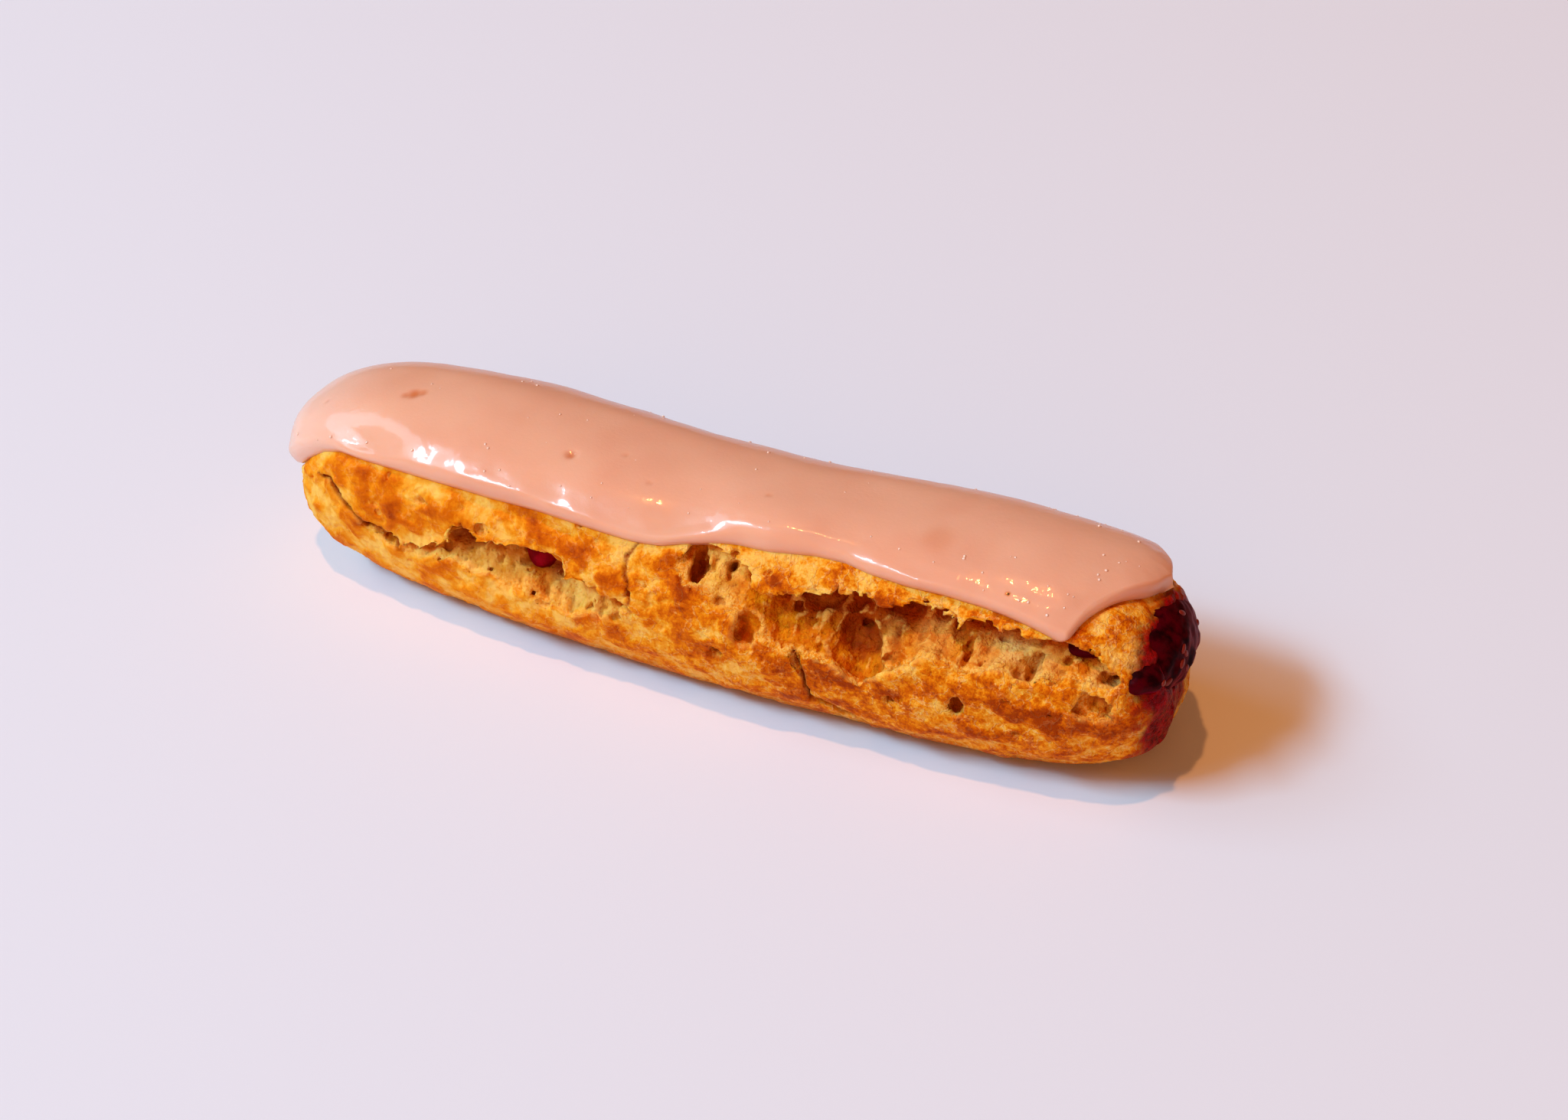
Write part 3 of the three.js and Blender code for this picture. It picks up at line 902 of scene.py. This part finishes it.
def press_marks(plain, coat):
    """Presses the small marks into the coat, and gives how much each one shows."""
    spot = np.zeros(len(plain))
    for place, degrees, radius, deep, shown in ICING_MARKS:
        off = np.linalg.norm(plain - bun_point(place, degrees), axis=1) / radius
        coat -= deep * np.exp(-(off**2))
        spot = np.maximum(spot, shown * np.exp(-(off**3)))
    return spot


def icing_shape():
    """The icing as a mesh, with how far from its edge and how marked each corner is."""
    turn = np.linspace(-1, 1, ICING_RINGS + 2)[1:-1]
    x = lerp(ICING_LEFT, ICING_RIGHT, (np.sin(turn * math.pi / 2) + 1) / 2)
    front, back = icing_front(x), icing_back(x)
    even = np.linspace(0, 1, ICING_ACROSS)
    crowded = lerp(even, smoothstep(0, 1, even), 0.55)
    over = lerp(front[:, None], back[:, None], crowded)
    under = lerp(front[:, None], back[:, None], np.linspace(1, 0, ICING_UNDER + 2)[1:-1])
    plain = bun_point(x[:, None], over).reshape(-1, 3)
    from_edge = edge_distance(plain, x, front, back)
    coat = icing_coat(plain, over.ravel(), from_edge)
    spot = press_marks(plain, coat)
    outer = bun_point(x[:, None], over, coat.reshape(over.shape))
    inner = bun_point(x[:, None], under, -ICING_TUCK - 0.4)
    marks = {"spot": ring_mark(spot), "from_edge": ring_mark(from_edge)}
    return *ring_mesh(np.concatenate([outer, inner], axis=1)), marks


def ring_mark(values):
    """A mark for the icing's rings, 0 on the underside, and for the points that close its ends."""
    rings = np.zeros((ICING_RINGS, ICING_ACROSS + ICING_UNDER))
    rings[:, :ICING_ACROSS] = values.reshape(ICING_RINGS, ICING_ACROSS)
    return np.concatenate([rings.ravel(), [rings[0].mean(), rings[-1].mean()]])


def edge_distance(points, x, front, back):
    """Distance from each point to the icing's edge."""
    line = np.concatenate([bun_point(x, front), bun_point(x, back)])
    tree = kdtree.KDTree(len(line))
    for i, spot in enumerate(line):
        tree.insert(spot, i)
    tree.balance()
    return np.array([tree.find(spot)[2] for spot in points])


def icing_pieces():
    """The coat of icing and the tiny bubbles in its skin."""
    points, faces, marks = icing_shape()
    make_piece("poured_icing", points, faces, marks, icing_material(), "icing", "pink_icing")
    from_edge = marks["from_edge"]
    patch = bell(points[:, 0] - BUBBLES_ALONG, BUBBLE_PATCH)
    band = bell(from_edge - BUBBLES_FROM_EDGE, BUBBLE_BAND)
    where = (0.1 + band * (0.2 + 1.2 * patch)) * (from_edge > 1.2)
    scattered_piece("icing_bubbles", (points, faces, where), BUBBLE_BALLS, bubble_material(), "icing")


def soft_union(fields, softness):
    """Joins fields that are positive inside, with rounded inner corners."""
    fields = np.stack(fields)
    top = fields.max(axis=0)
    return top + softness * np.log(np.exp((fields - top) / softness).sum(axis=0))


def lump_field(points, middle, sizes, knob, knobs, rng):
    """A lump of jam with soft knobs over it, where whole drupelets lie under its skin."""
    radii = np.array(sizes) / 2
    way = rng.normal(size=(knobs, 3))
    way /= np.linalg.norm(way, axis=1, keepdims=True)
    fields = [bubble(points, np.array(middle), radii - 0.45)]
    for direction in way:
        reach = rng.uniform(0.75, 1.15) * knob
        centre = middle + direction * (radii - reach)
        fields.append(bubble(points, centre, [reach] * 3))
    return soft_union(fields, 0.28)


def jam_lump(middle, sizes, knob, knobs, seed):
    """One lump of jam as corners and triangles."""
    rng = np.random.default_rng(seed)
    reach = np.array(sizes) / 2 + 1.5
    low = np.array(middle) - reach
    points = grid_points(low, np.array(middle) + reach, JAM_GRAIN)
    solid = lump_field(points, middle, sizes, knob, knobs, rng)
    points, quads = skin_of(solid, low, JAM_GRAIN)
    return points, triangles_of(quads)


def jam_core():
    """The plain run of jam through the bun."""
    turn = np.linspace(-1, 1, 42)[1:-1]
    x = lerp(CORE_FROM, CORE_TO, (np.sin(turn * math.pi / 2) + 1) / 2)
    reach = CORE_RADIUS * (1 - np.abs(turn) ** 6) ** (1 / 6)
    around = np.linspace(0, 2 * math.pi, 24, endpoint=False)
    middle = sway((x / HALF_LENGTH + 1) / 2)
    rings = np.stack([
        np.broadcast_to(x[:, None], (len(x), len(around))),
        middle[:, None] + reach[:, None] * np.cos(around),
        CORE_HEIGHT + reach[:, None] * np.sin(around),
    ], -1)
    return ring_mesh(rings)


def jam_pieces():
    """The jam, and the seeds in its outer skin."""
    shells = [jam_lump(*lump) for lump in JAM_LUMPS.values()] + [jam_core()]
    start = np.cumsum([0] + [len(points) for points, _ in shells])
    points = np.concatenate([points for points, _ in shells])
    faces = np.concatenate([faces + offset for (_, faces), offset in zip(shells, start)])
    points = points + 0.16 * noise(points, 1.3, 511)[:, None] * corner_normals(points, faces)
    fresh = smoothstep(0, -10, points[:, 0])
    make_piece("raspberry_jam", points, faces, {"fresh": fresh}, jam_material(), "jam", "raspberry_filling")
    outside = smoothstep(72.5, 73.5, points[:, 0])
    scattered_piece("raspberry_seeds", (points, faces, outside), SEED_BALLS, seed_material(), "jam")


# What a tree of scattered balls takes, and the balls of each kind: how many there are to a square
# metre, their radii in millimetres, and their width and height as shares of their length.
SCATTER_INPUTS = {
    "Mesh": "Geometry",
    "Density": "Float",
    "Smallest": "Float",
    "Largest": "Float",
    "Width": "Float",
    "Height": "Float",
    "Seed": "Int",
}
BUBBLE_BALLS = {
    "Segments": 10,
    "Density": 110000.0,
    "Smallest": 0.1,
    "Largest": 0.28,
    "Width": 1.0,
    "Height": 0.7,
    "Seed": 3,
}
SEED_BALLS = {
    "Segments": 12,
    "Density": 60000.0,
    "Smallest": 0.7,
    "Largest": 1.0,
    "Width": 0.62,
    "Height": 0.36,
    "Seed": 5,
}


def random_value(tree, least, most, seed=0):
    """A random number for each ball."""
    sockets = {2: least, 3: most, "Seed": seed}
    return add_node(tree, "FunctionNodeRandomValue", sockets, data_type="FLOAT").outputs[1]


def squashed_ball(tree, given, segments):
    """One ball of a millimetre's radius, squashed to its shares of width and height."""
    sockets = {"Segments": segments, "Rings": segments // 2, "Radius": MM}
    ball = add_node(tree, "GeometryNodeMeshUVSphere", sockets)
    sockets = {"X": 1.0, "Y": given["Width"], "Z": given["Height"]}
    shares = add_node(tree, "ShaderNodeCombineXYZ", sockets)
    sockets = {"Geometry": ball.outputs["Mesh"], "Scale": shares.outputs[0]}
    return add_node(tree, "GeometryNodeTransform", sockets).outputs["Geometry"]


def spun(tree, rotation):
    """A rotation with a random spin about its own upright."""
    spin = add_node(tree, "ShaderNodeCombineXYZ", {"Z": random_value(tree, 0.0, 2 * math.pi)})
    sockets = {0: rotation, 1: spin.outputs[0]}
    return add_node(tree, "FunctionNodeRotateRotation", sockets, rotation_space="LOCAL").outputs[0]


def scatter_tree(name, segments, material):
    """A geometry node tree that scatters small balls over a mesh, as densely as its mark says."""
    tree = bpy.data.node_groups.new(name, "GeometryNodeTree")
    for socket, kind in SCATTER_INPUTS.items():
        tree.interface.new_socket(socket, in_out="INPUT", socket_type="NodeSocket" + kind)
    tree.interface.new_socket("Balls", in_out="OUTPUT", socket_type="NodeSocketGeometry")
    given = tree.nodes.new("NodeGroupInput").outputs
    where = add_node(tree, "GeometryNodeInputNamedAttribute", {"Name": "where"}, data_type="FLOAT")
    density = times(tree, where.outputs["Attribute"], given["Density"])
    sockets = {"Mesh": given["Mesh"], "Density": density, "Seed": given["Seed"]}
    spots = add_node(tree, "GeometryNodeDistributePointsOnFaces", sockets).outputs
    sockets = {
        "Points": spots["Points"],
        "Instance": squashed_ball(tree, given, segments),
        "Rotation": spun(tree, spots["Rotation"]),
        "Scale": random_value(tree, given["Smallest"], given["Largest"], given["Seed"]),
    }
    balls = add_node(tree, "GeometryNodeInstanceOnPoints", sockets)
    balls = add_node(tree, "GeometryNodeRealizeInstances", {0: balls.outputs[0]})
    balls = add_node(tree, "GeometryNodeSetShadeSmooth", {0: balls.outputs[0]})
    sockets = {"Geometry": balls.outputs[0], "Material": material}
    balls = add_node(tree, "GeometryNodeSetMaterial", sockets)
    tree.links.new(balls.outputs[0], tree.nodes.new("NodeGroupOutput").inputs[0])
    return tree


def scattered_piece(name, host, balls, material, slot):
    """The small balls scattered over a host mesh as its mark says, as one plain piece."""
    points, faces, where = host
    scratch = bare_object("scratch", points + BUN_MIDDLE, faces, {"where": where}, MM)
    grown = scratch.modifiers.new("scatter", "NODES")
    grown.node_group = scatter_tree(name, balls["Segments"], material)
    for item in grown.node_group.interface.items_tree:
        if item.name in balls:
            grown[item.identifier] = balls[item.name]
    done = scratch.evaluated_get(bpy.context.evaluated_depsgraph_get())
    mesh = bpy.data.meshes.new_from_object(done)
    mesh.name = name
    ride_in(add_object(name, mesh), slot)
    bpy.data.objects.remove(scratch)


def linear(share):
    """A display share, from 0 to 1, as the linear share that nodes take."""
    return share / 12.92 if share <= 0.04045 else ((share + 0.055) / 1.055) ** 2.4


def paint(red, green, blue):
    """A display colour, from 0 to 255, as the linear colour that nodes take."""
    return [linear(value / 255) for value in (red, green, blue)] + [1.0]


def start_material(name):
    """A new material, its node tree and its surface shader."""
    material = bpy.data.materials.new(name)
    material.use_nodes = True
    return material, material.node_tree, material.node_tree.nodes["Principled BSDF"]


def plug(tree, node, sockets):
    """Gives each socket of a node a value, or links it to another node's output."""
    for socket, value in sockets.items():
        if isinstance(value, bpy.types.NodeSocket):
            tree.links.new(value, node.inputs[socket])
        else:
            node.inputs[socket].default_value = value


def add_node(tree, kind, sockets=None, **settings):
    """A new node with its settings and sockets filled in."""
    made = tree.nodes.new(kind)
    for setting, value in settings.items():
        setattr(made, setting, value)
    plug(tree, made, sockets or {})
    return made


def plain_material(name, color, roughness, specular):
    """A material of one even colour."""
    material, tree, surface = start_material(name)
    plug(tree, surface, {"Base Color": color, "Roughness": roughness, "Specular IOR Level": specular})
    return material


def mark_value(tree, mark):
    """The number that a piece's mesh holds for a mark."""
    return add_node(tree, "ShaderNodeAttribute", attribute_name=mark).outputs["Fac"]


def place_on(tree):
    """The place on a piece, in metres."""
    return add_node(tree, "ShaderNodeTexCoord").outputs["Object"]


def split_place(tree):
    """The place on a piece as its three parts: along the eclair, across it and up."""
    return add_node(tree, "ShaderNodeSeparateXYZ", {0: place_on(tree)}).outputs


def grain_noise(tree, size_mm, detail=3.0, roughness=0.55):
    """Noise with features of about one size in millimetres, from 0 to 1."""
    sockets = {
        "Vector": place_on(tree),
        "Scale": 1 / (size_mm * MM),
        "Detail": detail,
        "Roughness": roughness,
    }
    return add_node(tree, "ShaderNodeTexNoise", sockets).outputs["Fac"]


def pore_cells(tree, size_mm):
    """Distance from the middles of small cells, 0 at each middle."""
    sockets = {"Vector": place_on(tree), "Scale": 1 / (size_mm * MM)}
    return add_node(tree, "ShaderNodeTexVoronoi", sockets).outputs["Distance"]


def ease(tree, value, low, high, start=0.0, end=1.0):
    """From start to end with an even bend, as a value goes from low to high."""
    sockets = {"Value": value, "From Min": low, "From Max": high, "To Min": start, "To Max": end}
    return add_node(tree, "ShaderNodeMapRange", sockets, interpolation_type="SMOOTHSTEP").outputs["Result"]


def blend(tree, share, first, second):
    """The first colour turned into the second by a share."""
    sockets = {0: share, 6: first, 7: second}
    return add_node(tree, "ShaderNodeMix", sockets, data_type="RGBA").outputs[2]


def maths(tree, operation, first, second=0.0):
    """The result of one operation on two values."""
    return add_node(tree, "ShaderNodeMath", {0: first, 1: second}, operation=operation).outputs[0]


def times(tree, first, second):
    """The product of two values."""
    return maths(tree, "MULTIPLY", first, second)


def plus(tree, first, *others):
    """The sum of all the values."""
    for other in others:
        first = maths(tree, "ADD", first, other)
    return first






def mottled(tree, pattern, low, high, colors):
    """The first colour turning into the second as a pattern goes from low to high."""
    return blend(tree, ease(tree, pattern, low, high), *colors)


# The skin's colours from its pale gold hollows to its brownest blisters.
SKIN_COLORS = [
    (-0.6, paint(252, 188, 84)),
    (-0.25, paint(245, 162, 42)),
    (0.05, paint(237, 136, 10)),
    (0.35, paint(218, 106, 0)),
    (0.7, paint(196, 84, 0)),
    (1.05, paint(164, 60, 0)),
]

# The crust's other colours. A part with two of them is mottled.
PALE_CREASE = paint(255, 210, 136)
FROTH = paint(240, 140, 16), paint(250, 182, 84)
GOLDEN_CRUMB = paint(230, 134, 8), paint(206, 92, 0)
# Deep crumb: browner, and darker still as painted shade in deep recesses.
BROWN_SHADED_CAVE = paint(198, 88, 2), paint(158, 60, 2)
YELLOW_CRUMB = paint(248, 202, 108), paint(234, 166, 48)
CREAM_CRUMB = paint(250, 208, 124), paint(232, 162, 58)
RED_HOLLOW_SHADE = paint(132, 34, 2)
# Painted highlight on ridges of the torn crumb, and painted shade in its grooves.
RIDGE_HIGHLIGHT = paint(252, 196, 96)
GROOVE_SHADE = paint(150, 62, 2)
# Browner crust along the cracks, darkened as painted shade.
CRACK_SHADE_BROWN = paint(152, 54, 0)
# Painted shade: darker brown towards the foot.
FOOT_SHADE = paint(158, 74, 34)
JUICE_STAIN = paint(104, 0, 12), paint(168, 2, 16)
DRY, WET = [0.62] * 3 + [1], [0.3] * 3 + [1]

# The icing's colours, the jam's and the floor's.
PINK_ICING = paint(234, 165, 134), paint(238, 174, 143)
SUGAR_GRAIN = paint(246, 200, 180)
# Painted shade on the icing where it turns away at its silhouette.
ICING_EDGE_SHADE = paint(212, 118, 60)
# Paler icing at the left end: thinner icing, with painted light from the side.
THIN_LIT_ICING = paint(250, 214, 200)
CRUST_THROUGH_ICING = paint(216, 116, 64)
DARK_SPECK = paint(30, 10, 6)
# Paler than the icing: a painted highlight for the bubbles' glints.
BUBBLE_GLINT_SKIN = paint(250, 206, 184)
DARK_JAM = paint(30, 0, 3), paint(78, 0, 10)
FRESH_BERRY = paint(108, 0, 12), paint(150, 6, 26)
# Painted reflection: lighter crimson where the jam turns away at its rim.
JAM_RIM_SHEEN = paint(138, 6, 40)
STAINED_SEED = paint(128, 34, 20)
PALE_FLOOR = paint(236, 234, 244)


def skin_color(tree, ragged, grit, crease, crisp):
    """Pale gold hollows, orange blisters and brown scorches, with fine mottling and pale creases."""
    mottle = crisper(tree, grain_noise(tree, 2.2, 4), crisp)
    swings = [swing(tree, mottle, 1.3), swing(tree, ragged, 1.8), swing(tree, grit, 0.9)]
    scorch = times(tree, mark_value(tree, "scorch"), 0.55)
    baked = plus(tree, mark_value(tree, "blister"), *swings, scorch)
    skin = color_run(tree, baked, SKIN_COLORS)
    pale_crease = times(tree, crease, ease(tree, baked, 0.5, 0.0, 0.05, 0.32))
    return blend(tree, pale_crease, skin, PALE_CREASE)


def crumb_color(tree, sunk, grit, along):
    """Froth under the skin, golden crumb behind it, browner caves darkened by painted shade, pale crumb,
    and painted red-brown shade deep in the named hollows.
    """
    mottle = grain_noise(tree, 2.0, 4)
    froth = mottled(tree, grit, 0.38, 0.62, FROTH)
    crumb = mottled(tree, mottle, 0.35, 0.65, GOLDEN_CRUMB)
    cave = mottled(tree, mottle, 0.35, 0.65, BROWN_SHADED_CAVE)
    yellow = mottled(tree, mottle, 0.3, 0.7, YELLOW_CRUMB)
    cream = mottled(tree, mottle, 0.3, 0.7, CREAM_CRUMB)
    pale = blend(tree, ease(tree, along, 10 * MM, 40 * MM), yellow, cream)
    inside = blend(tree, ease(tree, sunk, 0.9, 1.8), froth, crumb)
    # Deeper than 3.4 mm the crumb turns to the cave colours: browner crumb, darkened further as painted
    # shade.
    inside = blend(tree, ease(tree, sunk, 3.4, 5.4), inside, cave)
    inside = blend(tree, times(tree, mark_value(tree, "pale"), 0.85), inside, pale)
    # Painted shade: dark red-brown deep in the named hollows.
    return blend(tree, mark_value(tree, "red"), inside, RED_HOLLOW_SHADE)


def choux_material():
    """Baked choux: blistered skin, torn crumb and raspberry juice, with painted light: pale highlights on
    crumb ridges, and painted shade in its grooves, along its cracks and towards its foot.
    """
    material, tree, surface = start_material("baked_choux")
    place = split_place(tree)
    crisp = ease(tree, place["X"], -56 * MM, 36 * MM, 0.4, 1.25)
    ragged = crisper(tree, grain_noise(tree, 1.0, 4, 0.6), crisp)
    grit = crisper(tree, grain_noise(tree, 0.42, 2), crisp)
    crease = times(tree, crease_lines(tree, 2.8), crisp)
    sunk = plus(tree, mark_value(tree, "sunk"), ease(tree, ragged, 0.25, 0.75, -0.22, 0.22))
    skin = skin_color(tree, ragged, grit, crease, crisp)
    inside = crumb_color(tree, sunk, grit, place["X"])
    base = blend(tree, ease(tree, sunk, 0.3, 0.6), skin, inside)
    # Painted light from how far the crumb stands out: a pale highlight on ridges and brown shade in
    # grooves.
    ridge = mark_value(tree, "ridge")
    base = blend(tree, ease(tree, ridge, 0.3, 1.0, 0.0, 0.45), base, RIDGE_HIGHLIGHT)
    base = blend(tree, ease(tree, ridge, -0.3, -1.0, 0.0, 0.5), base, GROOVE_SHADE)
    # Browner crust with painted shade along the cracks.
    base = blend(tree, times(tree, mark_value(tree, "crack"), 0.95), base, CRACK_SHADE_BROWN)
    # Painted shade: darker brown towards the foot.
    foot = times(tree, ease(tree, place["Z"], 5.5 * MM, 0.8 * MM), 0.75)
    base = blend(tree, foot, base, FOOT_SHADE)
    juice = mark_value(tree, "juice")
    stain = mottled(tree, ragged, 0.3, 0.7, JUICE_STAIN)
    sockets = {
        "Base Color": blend(tree, times(tree, juice, 0.985), base, stain),
        "Roughness": blend(tree, juice, DRY, WET),
        "Normal": choux_relief(tree, sunk, ragged, grit, crease),
        "Subsurface Weight": 0.22,
        "Subsurface Radius": (1.0, 0.4, 0.1),
        "Subsurface Scale": 1.0 * MM,
        "Specular IOR Level": 0.04,
    }
    plug(tree, surface, sockets)
    return material


def swing(tree, noise, share):
    """Noise moved to swing about 0, and scaled."""
    return maths(tree, "MULTIPLY", maths(tree, "SUBTRACT", noise, 0.5), share)


def crisper(tree, noise, share):
    """Noise with its swings about the middle kept to a share."""
    return maths(tree, "ADD", swing(tree, noise, share), 0.5)


def color_run(tree, value, stops):
    """The colour at a value in a run of (value, colour) stops."""
    first, last = stops[0][0], stops[-1][0]
    sockets = {"Value": value, "From Min": first, "From Max": last}
    share = add_node(tree, "ShaderNodeMapRange", sockets).outputs["Result"]
    ramp = add_node(tree, "ShaderNodeValToRGB", {"Fac": share})
    run = ramp.color_ramp.elements
    run[0].color = stops[0][1]
    run[1].color = stops[-1][1]
    for place, color in stops[1:-1]:
        run.new((place - first) / (last - first)).color = color
    return ramp.outputs["Color"]


def crease_lines(tree, size_mm):
    """Thin crooked lines, 1 along their middle and 0 beside them."""
    off_middle = maths(tree, "SUBTRACT", grain_noise(tree, size_mm, 3, 0.5), 0.5)
    return ease(tree, maths(tree, "ABSOLUTE", off_middle), 0.03, 0.0)


def bumps(tree, height, reach_mm, strength=1.0):
    """Normals bent by a pattern that stands up to a reach in millimetres."""
    sockets = {"Strength": strength, "Distance": reach_mm * MM, "Height": height}
    return add_node(tree, "ShaderNodeBump", sockets).outputs["Normal"]


def choux_relief(tree, sunk, ragged, grit, crease):
    """Pebbles, sand and creases on the skin, and tiny open cells in the crumb."""
    cells = ease(tree, pore_cells(tree, 0.8), 0.0, 0.5)
    relief = plus(
        tree,
        times(tree, ragged, 1.4),
        times(tree, grit, 0.4),
        times(tree, cells, ease(tree, sunk, 0.3, 0.9, 0.1, 0.6)),
        times(tree, crease, 0.25),
    )
    return bumps(tree, relief, 0.26)


def icing_material():
    """Set pink sugar icing: glossy, a little see-through, with tiny grains that break its gleam, painted
    shade where it turns away and painted light on its pale left end.
    """
    material, tree, surface = start_material("pink_sugar_icing")
    grain = grain_noise(tree, 0.5, 2)
    along = split_place(tree)["X"]
    pink = mottled(tree, grain_noise(tree, 14, 2), 0.3, 0.7, PINK_ICING)
    pink = blend(tree, ease(tree, grain, 0.7, 0.8, 0.0, 0.25), pink, SUGAR_GRAIN)
    # Painted shade: darker orange-brown where the icing turns away from the camera.
    edge = add_node(tree, "ShaderNodeLayerWeight", {"Blend": 0.3}).outputs["Facing"]
    pink = blend(tree, ease(tree, edge, 0.3, 0.95, 0.0, 0.85), pink, ICING_EDGE_SHADE)
    # Paler towards the thinner left end: thinner icing, with painted light from the side.
    pink = blend(tree, ease(tree, along, -56 * MM, -74 * MM, 0.0, 0.45), pink, THIN_LIT_ICING)
    base = blend(tree, mark_value(tree, "spot"), pink, CRUST_THROUGH_ICING)
    base = blend(tree, ease(tree, mark_value(tree, "spot"), 1.0, 1.4), base, DARK_SPECK)
    crystals = ease(tree, along, 6 * MM, 34 * MM, 1.0, 2.2)
    sockets = {
        "Base Color": base,
        "Normal": bumps(tree, grain, 0.02),
        "Coat Normal": bumps(tree, times(tree, grain_noise(tree, 1.5, 1), crystals), 0.055),
        "Roughness": 0.3,
        "IOR": 1.46,
        "Subsurface Weight": 0.5,
        "Subsurface Radius": (1.0, 0.5, 0.35),
        "Subsurface Scale": 2.0 * MM,
        "Specular IOR Level": 0.2,
        "Coat Weight": 0.42,
        "Coat IOR": 1.5,
        "Coat Roughness": 0.08,
    }
    plug(tree, surface, sockets)
    return material


def bubble_material():
    """The glossy skin of tiny bubbles in the icing, paler than the icing as a painted highlight for their
    glints.
    """
    return plain_material("icing_bubble", BUBBLE_GLINT_SKIN, 0.12, 0.5)


def jam_material():
    """Wet raspberry jam, dark where it faces the camera, with a painted lighter reflection at its rim, and
    brighter where a fresh berry shows.
    """
    material, tree, surface = start_material("raspberry_jam")
    cloud = grain_noise(tree, 2.4, 3)
    dark = mottled(tree, cloud, 0.35, 0.65, DARK_JAM)
    fresh = mottled(tree, cloud, 0.35, 0.65, FRESH_BERRY)
    edge = add_node(tree, "ShaderNodeLayerWeight", {"Blend": 0.35}).outputs["Facing"]
    # Painted reflection: lighter crimson where the jam turns away at its rim.
    sheened = blend(tree, ease(tree, edge, 0.35, 0.95, 0.0, 0.9), dark, JAM_RIM_SHEEN)
    sockets = {
        "Base Color": blend(tree, mark_value(tree, "fresh"), sheened, fresh),
        "Normal": bumps(tree, grain_noise(tree, 0.8, 3), 0.15, 0.35),
        "Roughness": 0.42,
        "IOR": 1.33,
        "Specular IOR Level": 0.04,
        "Subsurface Weight": 0.25,
        "Subsurface Radius": (1.0, 0.1, 0.1),
        "Subsurface Scale": 1.0 * MM,
    }
    plug(tree, surface, sockets)
    return material


def seed_material():
    """Raspberry seeds, stained by the jam."""
    return plain_material("raspberry_seed", STAINED_SEED, 0.4, 0.2)


def floor_material():
    """The plain pale floor."""
    return plain_material("pale_floor", PALE_FLOOR, 0.55, 0.2)


def make_floor():
    """The plain floor that the eclair rests on."""
    half = FLOOR_WIDTH / 2
    corners = [(-half, -half, 0), (half, -half, 0), (half, half, 0), (-half, half, 0)]
    mesh = bpy.data.meshes.new("floor")
    mesh.from_pydata(corners, [], [(0, 1, 2, 3)])
    mesh.materials.append(floor_material())
    floor = add_object("floor", mesh)


def look_from(name, data, target, azimuth, elevation, distance):
    """A camera or light that looks at a target from an azimuth, an elevation and a distance."""
    turn, tilt = math.radians(azimuth), math.radians(elevation)
    away = Vector((math.sin(turn) * math.cos(tilt), -math.cos(turn) * math.cos(tilt), math.sin(tilt)))
    made = add_object(name, data)
    made.location = Vector(target) + away * distance
    made.rotation_euler = (-away).to_track_quat("-Z", "Y").to_euler()
    return made


def photo_camera():
    """The camera at the photo's angle."""
    data = bpy.data.cameras.new("photo_camera")
    data.sensor_fit = "HORIZONTAL"
    data.angle = math.radians(CAMERA_ANGLE)
    target = (CAMERA_TARGET + BUN_MIDDLE) * MM
    view = [CAMERA_AZIMUTH, CAMERA_ELEVATION, CAMERA_DISTANCE * MM]
    bpy.context.scene.camera = look_from("photo_camera", data, target, *view)


def area_light(name, azimuth, elevation, distance, sides, watts, color):
    """A soft light that looks at the eclair."""
    data = bpy.data.lights.new(name, "AREA")
    data.shape = "RECTANGLE"
    data.size, data.size_y = sides
    data.energy = watts
    data.color = color
    look_from(name, data, (0, 0, 0), azimuth, elevation, distance)


def light_studio():
    """A cool window and curtain from the front left, a warm lamp overhead, a warm fill and a warm room."""
    for name, settings in LIGHTS.items():
        area_light(name, *settings)
    world = bpy.data.worlds.new("warm_room")
    world.use_nodes = True
    room = world.node_tree.nodes["Background"]
    plug(world.node_tree, room, {"Color": ROOM_COLOR, "Strength": ROOM_STRENGTH})
    bpy.context.scene.world = world
    bpy.context.scene.view_settings.view_transform = "Standard"


bun_piece()
icing_pieces()
jam_pieces()
make_floor()
photo_camera()
light_studio()
